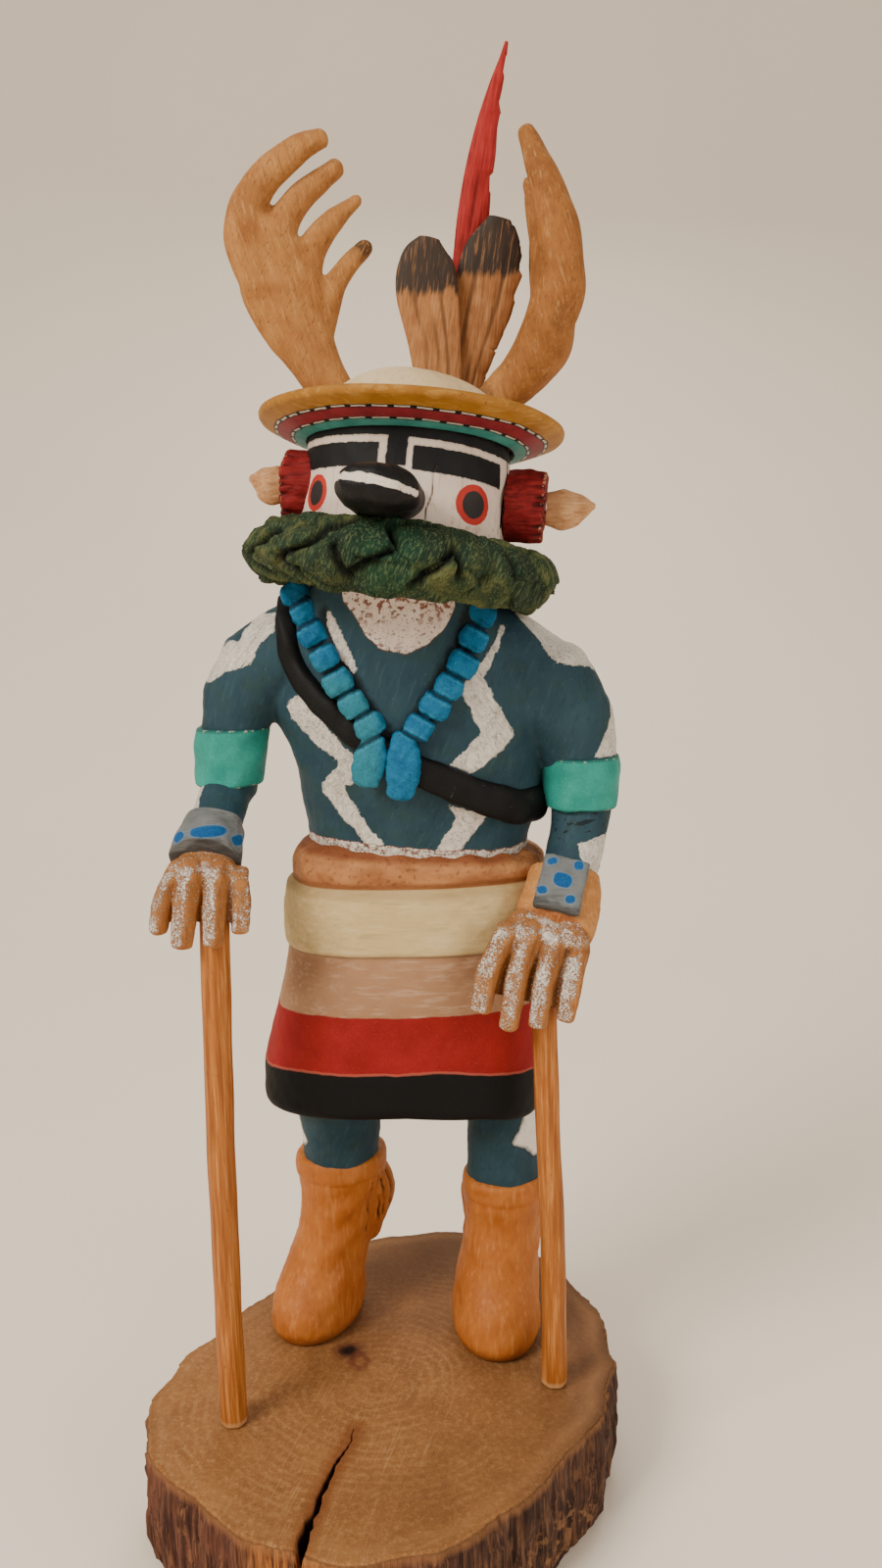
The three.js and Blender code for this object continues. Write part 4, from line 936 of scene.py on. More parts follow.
def armband_recipe(s):
    clouds = s.noise(5, 3)
    fine = s.noise(0.5, 3, rough=0.7, shift=2)
    rim = s.mark("rim")
    worn = rim.below(0.45, 0.4) * s.noise(1.2, 3, shift=5).above(0.6, 0.06)
    band = clouds.between((30, 124, 112), (46, 148, 134)).coats(
        (fine.above(0.6, 0.1) * 0.3, 84, 174, 158),
        (fine.below(0.36, 0.1) * 0.4, 22, 84, 76),
        (rim.size().below(0.5, 0.5) * 0.6, 24, 62, 60),
        (worn * 0.7, 186, 186, 168))
    return surface(band, 0.5 + fine * 0.16, fine + clouds * 0.5, 0.14)


armband_finish = finish("turquoise_armband_paint", armband_recipe)
for side, arm in ARMS.items():
    rows = np.array(arm["armband"])
    rows[:, 3:] += 0.1
    rings = rings_of(rows, level=True, sides=90, steps=40, power=2.1)
    draw_in(rings, (0.94, 0.985), (0.985, 0.94))
    mesh = skin(f"armband_{side}", rings)
    points = points_of(mesh)
    mark(mesh, "rim", np.minimum(rows[0][2] - points[:, 2], points[:, 2] - rows[-1][2]))
    push_out(mesh, points, 0.22 * rumple(points, 5, 61))
    set_piece(new_object(f"armband_{side}", mesh), armband_finish, "figure_paint", "carved_figure")

# ---- Wrist guards -----------------------------------------------------------------------
# The left wrist has a saddle-shaped grey guard with three blue stones painted on it. The
# right one is a tan leather cuff that carries a square grey plate with five blue stones.


def guard_recipe(s):
    clouds = s.noise(4, 3)
    strokes = s.noise(0.8, 3, stretch=8, turn=(0, 1.5708, 0), shift=2)
    fine = s.noise(0.35, 2, rough=0.7, shift=3)
    grey = clouds.between((97, 100, 101), (117, 119, 118)).coats(
        (strokes.below(0.42, 0.12) * 0.45, 76, 75, 70))
    shade = (s.mark("dark") + (s.noise(2.2, 2, shift=6) - 0.5) * 1.6).above(0, 0.8)
    grey = (shade * 0.75).over(grey, (strokes.above(0.56, 0.1) * 0.6).over(tint(52, 51, 50),
                                                                           tint(96, 92, 86)))
    stone = s.mark("stones") + (s.noise(1.2, 2, shift=7) - 0.5) * 0.2
    blue = fine.between((14, 66, 118), (26, 90, 146), 0.5, 0.3)
    grey = grey.coats((stone.below(0.25, 0.15) * 0.5, 96, 128, 148))
    grey = stone.below(0, 0.15).over(grey, blue)
    chips = s.noise(0.6, 3, shift=9).above(0.7, 0.03) * shade
    grey = grey.coats((chips * 0.8, 16, 16, 16))
    return surface(grey, 0.55 + fine * 0.15, strokes * 0.7 + fine * 0.5, 0.12)


def stone_distance(points, stones):
    """Signed distance to the nearest oval stone, seen a little from above: centre, half width,
    half height, slant."""
    best = np.full(len(points), 9.0)
    for (x, y, z), wide, tall, slant in stones:
        dx, dz = points[:, 0] - x, points[:, 2] - z + 0.19 * (points[:, 1] - y)
        c, s = math.cos(math.radians(slant)), math.sin(math.radians(slant))
        u, v = (dx * c + dz * s) / wide, (-dx * s + dz * c) / tall
        reach = np.where(points[:, 1] - y < 9, 0, 9)
        best = np.minimum(best, ((abs(u) ** 2.6 + abs(v) ** 2.6) ** (1 / 2.6) - 1) * min(wide, tall)
                          + reach)
    return best


LEFT_STONES = [((-33.8, -14.6, 170), 3.9, 1.25, 0), ((-40.3, -14.6, 168.9), 1.3, 0.9, 45),
               ((-27.6, -9.9, 167), 0.8, 1.2, 25)]
RIGHT_STONES = [((43, -6.2, 159.4), 1.2, 0.75, 12), ((49, -6.9, 158.4), 1.1, 0.95, 0),
                ((45.1, -8.9, 155.6), 2.1, 1.6, -18),
                ((40.3, -10, 153.8), 1.1, 0.85, 0), ((46.5, -11.6, 151.8), 1.1, 0.9, 0)]

left_guard_rows = np.array(ARMS["left"]["guard"])
left_guard_rows[:, 3:] += 0.15
left_guard_rings = rings_of(left_guard_rows, sides=110, steps=46, power=2.25)
draw_in(left_guard_rings, (0.93, 0.98), (0.985, 0.95))
guard_down = unit(left_guard_rows[-1, :3] - left_guard_rows[0, :3])
for k, ring in enumerate(left_guard_rings[23:]):
    side_reach = (ring[:, 0] - ring[:, 0].mean()) / 8
    arch = np.clip(1 - side_reach ** 2, 0, 1) * (ring[:, 1] < ring[:, 1].mean() + 2)
    ring -= guard_down * (1.6 * arch * (k + 1) / 23)[:, None]
mesh = skin("wrist_guard_left", left_guard_rings)
points = points_of(mesh)
dark_edge = np.interp(points[:, 0], [-41, -36.6, -33.6, -31, -27, -25],
                      [165.2, 168.2, 168.9, 168.3, 164.6, 162])
mark(mesh, "stones", stone_distance(points, LEFT_STONES))
mark(mesh, "dark", dark_edge - points[:, 2])
push_out(mesh, points, 0.2 * rumple(points, 5, 63))
left_guard_finish = finish("grey_guard_paint_left", guard_recipe)
set_piece(new_object("wrist_guard_left", mesh), left_guard_finish, "figure_paint", "carved_figure")

cuff = fuse("leather_cuff_right", [rings_of(ARMS["right"]["guard"], sides=72, steps=50, power=2.3)], 0.5, 3)
points = points_of(cuff.data)
push_out(cuff.data, points, lumps(points, (0.25, 6, 64), (0.06, 1.6, 65)))
points = points_of(cuff.data)
low_edge = np.interp(points[:, 0], [33, 36, 42.6, 47.4, 50.4, 54], [147, 147.8, 149.6, 146.6, 142, 139])
mark(cuff.data, "shade", low_edge + 1.0 - points[:, 2])


def cuff_recipe(s):
    grain = s.noise(0.7, 3, stretch=8, turn=(0.5, 0, 0))
    clouds = s.noise(5, 3, shift=2)
    tan = clouds.between((172, 114, 60), (192, 136, 80)).coats(
        (grain.above(0.6, 0.1) * 0.4, 208, 158, 106),
        (grain.below(0.4, 0.1) * 0.4, 138, 84, 42))
    under = (s.mark("shade") + (s.noise(2, 2, shift=4) - 0.5) * 2).above(0, 1.2)
    tan = (under * 0.8).over(tan, grain.between((104, 48, 18), (162, 90, 40), 0.5, 0.3))
    return surface(tan, 0.55 + grain * 0.15, grain * 0.8 + clouds * 0.4, 0.14)


set_piece(cuff, finish("tan_cuff_stain", cuff_recipe), "figure_paint", "carved_figure")

GUARD_PLATE = [[46.6, -4.6, 159.4, 5.3, 1.4], [43.2, -11.9, 149.2, 5.4, 1.4]]
plate = fuse("wrist_plate_right", [rings_of(GUARD_PLATE, sides=64, steps=40, power=5)], 0.4, 3)
points = points_of(plate.data)
mark(plate.data, "stones", stone_distance(points, RIGHT_STONES))
mark(plate.data, "dark", 151.5 - (points[:, 0] - 42.6) * 0.3 - points[:, 2])
push_out(plate.data, points, 0.12 * rumple(points, 4, 66))
set_piece(plate, finish("grey_guard_paint_right", guard_recipe), "figure_paint", "carved_figure")

# ---- Hands ------------------------------------------------------------------------------
# Simple blocky hands with four straight fingers, their gaps cut with a V tool. Bare wood
# between, with worn speckled white paint on the backs and the fronts of the fingers.


def hand_recipe(s):
    grain = s.noise(0.6, 3, stretch=9, turn=(0.2, 0.1, 0))
    fine = s.noise(0.34, 4, rough=0.8, shift=3)
    wood = s.noise(3.4, 2, shift=2).between((158, 98, 48), (182, 122, 66)).coats(
        (grain.below(0.42, 0.1) * 0.5, 126, 72, 34),
        # painted shade in the V cuts between the fingers
        (s.mark("gap").above(0.3, 0.8) * 0.85, 58, 28, 14))
    cover = s.mark("white") + (s.noise(2.6, 3, shift=6) - 0.5) * 1.2
    paint = (cover + (fine - 0.5) * 5.5).above(0.62, 0.16)
    white = s.noise(0.8, 3, shift=8).between((198, 186, 172), (226, 220, 210), 0.5, 0.3)
    colour = paint.over(wood, white)
    pits = (s.noise(0.3, 3, rough=0.7, shift=11).above(0.6, 0.03) * cover.above(0.35, 0.4)
            * s.noise(3, 2, shift=12).above(0.42, 0.12))
    arcs = s.mark("arc").below(0.42, 0.4) * fine.above(0.42, 0.15)
    colour = colour.coats(
        (pits * 0.85, 54, 34, 24),
        (arcs * 0.8, 214, 204, 192))
    return surface(colour, 0.6 + fine * 0.15, paint * 0.8 + fine * 0.6 - pits + grain * 0.5, 0.13)


HAND_ARCS = {   # pale ridges of paint across the back of each hand
    "left": [[(-42.2, -17, 160.6), (-38.6, -19, 162.2), (-34.6, -19.6, 162.8), (-30.8, -19, 162),
              (-26.6, -16.6, 160)],
             [(-39, -16, 162.4), (-34.6, -17.6, 163.6), (-30.4, -16.8, 162.8)]],
    "right": [[(34, -11.6, 144.2), (39.9, -13.6, 145), (45.2, -13.6, 142.9), (50.2, -11, 139.4)],
              [(36, -9.4, 146.6), (41, -12, 147), (46.4, -11.8, 144.6)]],
}
hand_finish = finish("worn_hand_paint", hand_recipe)
for side, arm in ARMS.items():
    forms = [rings_of(arm["palm"], sides=72, steps=60, power=2.8)]
    for (top, middle, tip), (turned, width, depth) in zip(arm["fingers"], arm["finger_shape"]):
        across = (math.cos(math.radians(turned)), -math.sin(math.radians(turned)), 0)
        knuckle = np.add(top, (0.3, 2.6, 1.5))
        rows = [[*knuckle, width * 0.8, depth * 0.8], [*top, width, depth], [*middle, width, depth],
                [*tip, width * 0.88, depth * 0.84]]
        forms.append(rings_of(rows, across, sides=40, steps=44, power=4.2, tips=(0.8, 1.1)))
    hand = fuse(f"carved_hand_{side}", forms, 0.35, 2)
    points, normals = points_of(hand.data), normals_of(hand.data)
    away = np.full(len(points), 9.0)
    for (top, middle, tip), (_, width, _) in zip(arm["fingers"], arm["finger_shape"]):
        away = np.minimum(away, line_distance(points, [top, middle, np.add(tip, (0, 0, -1.4))], (1, 1, 1))
                          - width)
    fingers = np.array(arm["fingers"])
    knuckles = np.interp(points[:, 0], fingers[:, 0, 0], fingers[:, 0, 2] + 0.6)
    below = np.clip((knuckles - points[:, 2]) / 1.2, 0, 1)
    # gap marks the V cuts between the fingers below the knuckles, painted dark as shade
    gap = np.clip((away - 0.3) / 1.1, 0, 1) * below * (normals[:, 1] < 0.3)
    lit = normals @ unit(np.array([-0.5, -0.85, 0.15]))
    outer = normals @ unit(np.array([0.75, -0.65, 0])) * (points[:, 0] > fingers[-1, 1, 0] - 0.6)
    cover = (np.clip((np.maximum(lit, outer if side == "left" else lit) - 0.66) * 3.6, 0, 1)
             * np.clip(1 - gap * 2, 0, 1))
    back_of_hand = (np.clip((points[:, 2] - knuckles + 0.6) / 1.6, 0, 1)
                    * np.clip(-normals[:, 1] + 0.2, 0, 1))
    mark(hand.data, "gap", gap)
    mark(hand.data, "white", cover * (0.6 + 0.22 * rumple(points, 5, 71)) + 0.4 * back_of_hand)
    mark(hand.data, "arc", np.min([line_distance(points, line, (1, 0.4, 1)) for line in HAND_ARCS[side]],
                                  axis=0))
    move_points(hand.data, points + normals * (0.1 * rumple(points, 3, 72))[:, None])
    set_piece(hand, hand_finish, "figure_paint", "carved_figure")

# ---- Bandolier --------------------------------------------------------------------------
# A flat strap in low relief slants from the left shoulder across the chest to the right hip
# and back over the shoulder blades, widening on the way down. It is painted black.
BANDOLIER = [
    [-16, 3, 219.4, 2.4], [-16, -1.6, 213.6, 2.5], [-13.8, -3.8, 204.4, 2.7], [-5.4, -8.6, 194.4, 2.9],
    [4, -9.9, 187, 3.1],
    [14, -9.8, 181.4, 3.4], [25, -6.8, 175.8, 3.9], [36, 0, 171.2, 4.2], [42, 11, 172, 4.2],
    [40, 20, 177, 3.9],
    [30, 28.2, 186, 3.5], [14, 29.8, 198, 3.1], [-1, 24.9, 208, 2.8], [-12, 16, 216.6, 2.5],
    [-15.6, 9, 219.6, 2.4],
]


def bandolier_recipe(s):
    fine = s.noise(0.5, 3, rough=0.7)
    clouds = s.noise(4, 3, shift=2)
    scratch = s.noise(0.5, 2, stretch=12, turn=(0, 0.5, 0), shift=4).above(0.72, 0.02)
    black = clouds.between((6, 6, 6), (16, 15, 15)).coats(
        (fine.above(0.66, 0.06) * 0.4, 58, 54, 50),
        (scratch * 0.5, 120, 110, 100))
    return surface(black, 0.5 + fine * 0.2, fine + clouds * 0.5, 0.12)


mesh = skin("bandolier_cord", rings_of([p + [2.2] for p in BANDOLIER], (0, 0, 1), sides=36, steps=210,
                                       power=2.9))
points = points_of(mesh)
push_out(mesh, points, 0.25 * rumple(points, 6, 81))
set_piece(new_object("bandolier_cord", mesh), finish("black_cord_paint", bandolier_recipe), "figure_paint",
          "carved_figure")

# ---- Necklace beads and pendants --------------------------------------------------------
# Two strings of chunky beads run from the ruff to two hanging tabs on the chest. They are
# carved in the block, squared with a knife and painted a chalky bright blue.
BEADS = {
    "left": [[-13.7, 0.8, 221.2], [-11.5, -2.4, 217.2], [-9.6, -5.2, 212.4], [-6.9, -8.2, 207.2],
             [-4.1, -9.6, 201.8],
             [-0.8, -10.7, 197], [2.6, -11, 192.3]],
    "right": [[27.8, -4.2, 215.8], [25.8, -7.8, 210.6], [23.4, -9.8, 205.2], [20.3, -10.8, 200.4],
              [17.1, -11.2, 196.2],
              [13.4, -11.5, 191.6]],
}
BEAD_SLANT = {"left": 27, "right": -30}
PENDANTS = {
    "left": [[3.8, -11.6, 189.8, 2, 1.9], [3, -11.9, 186.6, 3.5, 2.1], [2, -12, 183, 3.7, 2.2],
             [1.2, -11.8, 180, 2.9, 2]],
    "right": [[9.4, -11.6, 190.4, 2, 1.9], [9.9, -11.9, 186.4, 3.6, 2.2], [9.6, -12.1, 181.6, 3.9, 2.3],
              [8.8, -11.9, 177, 2.9, 2]],
}


def bead_recipe(s):
    fine = s.noise(0.5, 3, rough=0.75)
    clouds = s.noise(3, 3, shift=2)
    blue = clouds.between((14, 82, 124), (26, 108, 146))
    x, _, z = s.axes()
    greener = (((z + x * 0.4).below(204, 10) * x.below(5, 4) + z.above(206, 8) * -0.6) * 0.6).most(0)
    notch = s.mark("notch") + (fine - 0.5) * 0.8
    blue = blue.coats(
        (greener, 48, 124, 128),
        (fine.above(0.6, 0.06) * 0.35, 58, 138, 170),
        (fine.below(0.4, 0.06) * 0.6, 10, 54, 76),
        # painted shade in the notches between the beads
        (notch.below(0.5, 0.5) * 0.85, 8, 30, 42),
        # painted highlight along the ledge of each bead
        (notch.above(0.75, 0.2) * notch.below(1.25, 0.4) * fine.above(0.45, 0.2) * 0.3, 70, 150, 180),
        (s.noise(0.8, 3, shift=6).above(0.7, 0.03), 16, 28, 34))
    return surface(blue, 0.6 + fine * 0.2, fine + clouds * 0.6, 0.16)


bead_finish = finish("chalky_bead_blue", bead_recipe)
for side, centres in BEADS.items():
    slant = math.radians(BEAD_SLANT[side])
    string = []
    for k, (x, y, z) in enumerate(centres):
        wide, slim = 3.3 - 0.2 * (k % 2), 0.74 + 0.05 * (k % 3)
        shape = ((-2.75, slim * 0.82, 2), (-2.5, slim, 2.5), (-1.5, 0.98, 3.1), (0, 1.03, 3.3),
                 (1.3, 0.98, 3.2),
                 (2.25, slim + 0.06, 2.6), (2.5, slim * 0.8, 2))
        rows = [[x + math.sin(slant) * along, y, z - math.cos(slant) * along, wide * width, deep]
                for along, width, deep in shape]
        string.append(rings_of(rows, sides=44, steps=42, power=3.6))
    string.append(rings_of(PENDANTS[side], sides=40, steps=26, power=2.6, tips=(0.6, 1.5)))
    beads = fuse(f"necklace_{side}", string, 0.3, 1)
    points = points_of(beads.data)
    notches = ([np.add(a, b) / 2 for a, b in zip(centres[:-1], centres[1:])]
               + [np.add(centres[-1], (0.6, 0, -2.8))])
    notch = np.min([abs((points - place) @ (math.sin(slant), 0, -math.cos(slant)))
                    + 9 * (np.linalg.norm(points - place, axis=1) > 5.5) for place in notches], axis=0)
    mark(beads.data, "notch", notch)
    push_out(beads.data, points, lumps(points, (0.16, 2.6, 83), (0.05, 1.1, 84)))
    set_piece(beads, bead_finish, "figure_paint", "carved_figure")

# ---- Mask -------------------------------------------------------------------------------
# The case mask is a plain drum with a low domed crown, turned and tilted a little on the
# neck. White ground, black blocks under the hat, and two round red-rimmed eyes.
HEAD = (Matrix.Translation((13.4, 0, 255.6)) @ Matrix.Rotation(math.radians(7), 4, "Y")
        @ Matrix.Rotation(math.radians(-7.1), 4, "X") @ Matrix.Rotation(math.radians(-7.5), 4, "Z"))
HEAD_RADIUS, MASK_SIDES = 22.5, 360


def placed(points, place):
    turn = np.array(place)[:3, :3]
    return points @ turn.T + np.array(place)[:3, 3]


def on_mask(rings):
    """Rings drawn about the mask's own axis, carried to where it sits."""
    return placed(rings.reshape(-1, 3), HEAD).reshape(rings.shape)


def block_distance(u, v, left, right, low, high):
    """Signed distance to a painted rectangle, negative inside."""
    dx = np.maximum(left - u, u - right)
    dy = np.maximum(low - v, v - high)
    return np.where((dx > 0) & (dy > 0), np.hypot(dx, dy), np.maximum(dx, dy))


mask_drum = [[-38, 18], [-35, 19.8], [-32, 21], [-28, 22.1], [-24, 22.5], [-16, 22.6], [-8, 22.5],
             [-4, 22.2], [-1.5, 21.7]]
mask_drum_h = np.linspace(-33.4, -1.5, 92)
mask_profile = [(h, np.interp(h, [p[0] for p in mask_drum], [p[1] for p in mask_drum]))
                for h in mask_drum_h]
mask_profile += [(13.5 * math.sin(a) - 0.5, 21.3 * math.cos(a)) for a in np.linspace(0, 1.555, 28)]
mask_turn = 2 * np.pi * np.arange(MASK_SIDES) / MASK_SIDES + np.pi   # the seam is at the back
mask_rings = np.array([[(r * math.sin(a), -r * math.cos(a), h) for a in mask_turn] for h,
                       r in mask_profile])
mesh = skin("mask_and_crown", on_mask(mask_rings))
local = mask_rings.reshape(-1, 3)
theta = np.degrees(np.arctan2(local[:, 0], -local[:, 1]))
MM_PER_DEGREE = math.radians(HEAD_RADIUS)
arc, rise = theta * MM_PER_DEGREE, local[:, 2]


def across(degrees):
    return degrees * MM_PER_DEGREE


BLACK_BLOCKS = [(-200, 200, -5.7, 0.5), (across(10.8), across(70) - 0.22 * (rise + 9.7), -12.2, -7.2),
                (across(-72), across(-7.4), -12.2, -7.2), (across(-3.2), across(7.6), -11.65, 0),
                (across(78), across(80), -20, -5)]   # left, right, low, high
black = np.min([block_distance(arc, rise, *block) for block in BLACK_BLOCKS], axis=0)
EYES = [(-47.2, -17.3, 3.8, 3.9, 2.5, 2.65), (48.2, -17.2, 4.5, 4.15, 2.9, 2.85)]
red, pupil = np.full(len(arc), 50.0), np.full(len(arc), 50.0)
for turn, height, wide, tall, dark_wide, dark_tall in EYES:
    u, v = arc - across(turn), rise - height
    red = np.minimum(red, (np.hypot(u / wide, v / tall) - 1) * tall)
    pupil = np.minimum(pupil, (np.hypot(u / dark_wide, v / dark_tall) - 1) * dark_tall)
crack = line_distance(np.stack([arc, 0 * arc, rise], 1), [(across(t), 0, h) for t, h in
                      ((24.2, -10.6), (22.6, -12.4), (23.1, -16.5), (19.9, -19.9), (20.6, -24))])
for name, values in (("black", black), ("red", red), ("pupil", pupil), ("crack", crack), ("rise", rise)):
    mark(mesh, name, np.r_[values, values[0], values[-1]])
points = points_of(mesh)
push_out(mesh, points, lumps(points, (0.22, 12, 91), (0.05, 3, 92)))


def mask_recipe(s):
    fine = s.noise(0.4, 3, rough=0.7)
    wood = s.noise(1.0, 3, stretch=14, turn=(-0.12, 0.12, 0), shift=2)
    clouds = s.noise(7, 3, shift=3)
    edge = (s.noise(1.1, 3, shift=4) - 0.5) * 0.5
    rise = s.mark("rise")
    white = clouds.between((206, 184, 168), (222, 206, 190)).coats(
        (wood.below(0.38, 0.08) * 0.35, 166, 136, 116),
        (s.noise(2.2, 4, rough=0.65, shift=8).above(0.6, 0.08) * 0.5 * rise.below(-18, 6), 156, 112, 84),
        (rise.below(-24, 4) * s.noise(1.2, 3, shift=9).above(0.5, 0.1) * 0.6, 110, 80, 54))
    red = clouds.between((162, 34, 30), (186, 54, 44)).coats(
        (fine.above(0.62, 0.06) * 0.4, 204, 100, 80))
    ink = clouds.between((14, 15, 16), (27, 26, 27)).coats((fine.above(0.66, 0.05) * 0.35, 60, 57, 54))
    dark = clouds.between((34, 30, 31), (52, 46, 45))
    colour = (s.mark("red") + edge).below(0, 0.14).over(white, red)
    colour = (s.mark("pupil") + edge).below(0, 0.14).over(colour, dark)
    colour = colour.coats(
        ((s.mark("black") + edge).size().below(0.25, 0.3) * fine.above(0.5, 0.1) * 0.6, 120, 108, 100))
    colour = (s.mark("black") + edge * 1.3).below(0, 0.14).over(colour, ink)
    colour = colour.coats(((s.mark("crack") + edge * 0.3).below(0.14, 0.12) * 0.9, 60, 40, 30))
    cream = clouds.between((202, 176, 132), (218, 194, 152)).coats(
        (wood.below(0.4, 0.08) * 0.35, 166, 134, 92))
    colour = rise.above(0.6, 0.3).over(colour, cream)
    cut = s.mark("crack").below(0.2, 0.2)
    return surface(colour, 0.55 + fine * 0.14, fine * 0.5 + wood * 0.6 - cut * 2, 0.12)


set_piece(new_object("mask_and_crown", mesh), finish("case_mask_paint", mask_recipe), "figure_paint",
          "carved_figure")

# ---- Spruce ruff ------------------------------------------------------------------------
# A thick collar stands for twigs of spruce tied round the neck. It is one ring of wood cut
# with crossing V gouges and stippled in several greens.
RUFF = (Matrix.Translation((10.4, -2.6, 227.5)) @ Matrix.Rotation(math.radians(8.2), 4, "Y")
        @ Matrix.Rotation(math.radians(-2), 4, "X") @ Matrix.Rotation(math.radians(-7.5), 4, "Z"))
RUFF_RADIUS, RUFF_HALF_WIDTH, RUFF_HALF_HEIGHT, RUFF_CLUMPS = 28.2, 6.6, 8.2, 17
RUFF_AROUND, RUFF_SIDES = 700, 68

ruff_rng = np.random.default_rng(14)
girth = 2 * np.pi * (RUFF_RADIUS + RUFF_HALF_WIDTH)
tall = 14.4 * np.pi
GOUGES = [   # knife cuts seen from the front: degrees round from the middle, height
    [(-17.6, 7.6), (-25.4, 5.9), (-31.6, 2.6), (-45.6, -2.8)], [(-50.3, 4.2), (-59, 0.8), (-69.5, -2)],
    [(-2.7, 2), (-8.2, -0.9), (-16.6, -4.1)], [(-22.4, 1.2), (-20.4, -2.2), (-17.6, -5.8)],
    [(-45.6, -3.4), (-39.4, -5.5), (-33.7, -7.6)], [(18.5, 3.4), (20.4, 1.2), (20.4, -2.2)],
    [(39.4, 4.2), (41.2, 1.5), (43.7, -2)], [(56.5, 3.6), (57.3, 0.3), (59.9, -3.3)],
    [(6.4, -6), (13.8, -1.7), (18.5, 2.9)], [(-69.5, -4.6), (-57.3, -7.2)], [(31, -2), (27, -5.6)],
    [(-6, 7), (-2, 3.4)],
]
seeds = np.array([((c + 0.5 * (r % 2)) * girth / RUFF_CLUMPS + ruff_rng.uniform(-3.4, 3.4),
                   (r - 2.5) * tall / 6 + ruff_rng.uniform(-2, 2))
                  for r in range(6) for c in range(RUFF_CLUMPS)])
lean = ruff_rng.normal(0, 0.15, (len(seeds), 2))
raised_by = ruff_rng.uniform(-0.5, 0.5, len(seeds))
shade_of = ruff_rng.uniform(0, 1, len(seeds))
edge_depth = ruff_rng.uniform(0.15, 1, (len(seeds), len(seeds)))
turn = 2 * np.pi * np.arange(RUFF_AROUND) / RUFF_AROUND
section = 2 * np.pi * np.arange(RUFF_SIDES) / RUFF_SIDES
su, sv = (np.sign(f(section)) * abs(f(section)) ** (2 / 1.6) for f in (np.cos, np.sin))
grid_turn, grid_u = np.meshgrid(turn, su, indexing="ij")
grid_section, grid_v = (np.meshgrid(turn, values, indexing="ij")[1] for values in (section, sv))
arc = (grid_turn / (2 * np.pi) * girth).ravel()
lift = (np.where(grid_section > np.pi, grid_section - 2 * np.pi, grid_section) * 7.2).ravel()
flat = np.stack([arc, 0 * arc, lift], 1)
slant = arc + 0.55 * lift + 1.3 * rumple(flat, 9, 105)
over_x = slant[:, None] - (seeds[:, 0] + 0.55 * seeds[:, 1])[None]
over_x -= girth * np.round(over_x / girth)
over_z = lift[:, None] - seeds[:, 1][None]
over_z -= tall * np.round(over_z / tall)
apart = np.hypot(over_x * 0.9, over_z)
order = np.argpartition(apart, 2, axis=1)[:, :2]
row = np.arange(len(arc))
swap = apart[row, order[:, 0]] > apart[row, order[:, 1]]
order[swap] = order[swap][:, ::-1]
first, second = order.T
near = (apart[row, second] - apart[row, first]) / 2
low, high = np.minimum(first, second), np.maximum(first, second)
depth = edge_depth[low, high]
depth = np.where(depth > 0.74, 0.2 + 0.9 * depth, 0.05)
sunk = depth * np.clip(1 - near / (0.3 + 0.36 * depth), 0, 1) ** 1.1
facet = raised_by[first] + (np.stack([over_x[row, first], over_z[row, first]], 1) * lean[first]).sum(1)
facet = np.clip(facet, -0.9, 0.9) * np.clip(near / 0.5, 0, 1)
outer = np.clip(np.cos(grid_section.ravel()) * 1.5 + 0.6, 0, 1)
needles = 0.1 * np.sin(arc * 7.4 + 0.5 * lift + 2.2 * rumple(flat, 5, 101))
needles *= np.clip(rumple(flat, 3, 102) + 0.7, 0, 1)
rough = lumps(flat, (0.14, 2.6, 103), (0.26, 7, 104))
gouge_rng = np.random.default_rng(15)
for around in range(74, 286, 12):
    lean_way = 9 * (-1) ** (around // 12) + gouge_rng.uniform(-3, 3)
    GOUGES.append([(around + lean_way, gouge_rng.uniform(3, 6)),
                   (around - lean_way, gouge_rng.uniform(-6, -3))])
for line in GOUGES:
    line = [((277.5 + turned) % 360 / 360 * girth, 0, 7.2
             * math.copysign(math.asin((abs(high) / 8) ** 0.85), high))
            for turned, high in line]
    if max(x for x, *_ in line) - min(x for x, *_ in line) > girth / 2:
        continue
    close = abs((arc - line[0][0] + girth / 2) % girth - girth / 2) < 32
    away = np.full(len(arc), 99.0)
    away[close] = line_distance(flat[close], line, (1, 1, 1))
    (x0, _, z0), (x1, _, z1) = line[0], line[-1]
    side_of = np.sign((arc - x0) * (z1 - z0) - (lift - z0) * (x1 - x0))
    gouged = 2.3 * np.clip(1 - away / np.where(side_of > 0, 0.85, 2.1), 0, 1) ** 1.15
    facet = facet + 0.4 * side_of * np.clip(1 - away / 5, 0, 1)
    sunk = np.maximum(sunk, gouged)
pillow = 0.12 * (1 - np.clip(near / 3, 0, 1) ** 0.7) - facet
cut_in = ((sunk + pillow) * outer - (needles + rough) * (0.4 + 0.6 * outer)).reshape(grid_turn.shape)
reach_out = RUFF_RADIUS + grid_u * RUFF_HALF_WIDTH - np.cos(grid_section) * cut_in
height = (grid_v * (RUFF_HALF_HEIGHT - 1.5 * abs(np.cos(grid_turn))) - 0.8 * np.cos(grid_turn) ** 2
          - np.sin(grid_section) * cut_in)
rings = np.stack([reach_out * np.cos(grid_turn), reach_out * np.sin(grid_turn), height], -1)
ring_points = placed(rings.reshape(-1, 3), RUFF)
on_head = placed(ring_points, HEAD.inverted())
gap = np.hypot(on_head[:, 0], on_head[:, 1])
stay = np.clip(22.75 / gap, 1, 1.2)
on_head[:, :2] *= np.where((on_head[:, 2] > -33), stay, 1)[:, None]
ring_points = placed(on_head, HEAD)


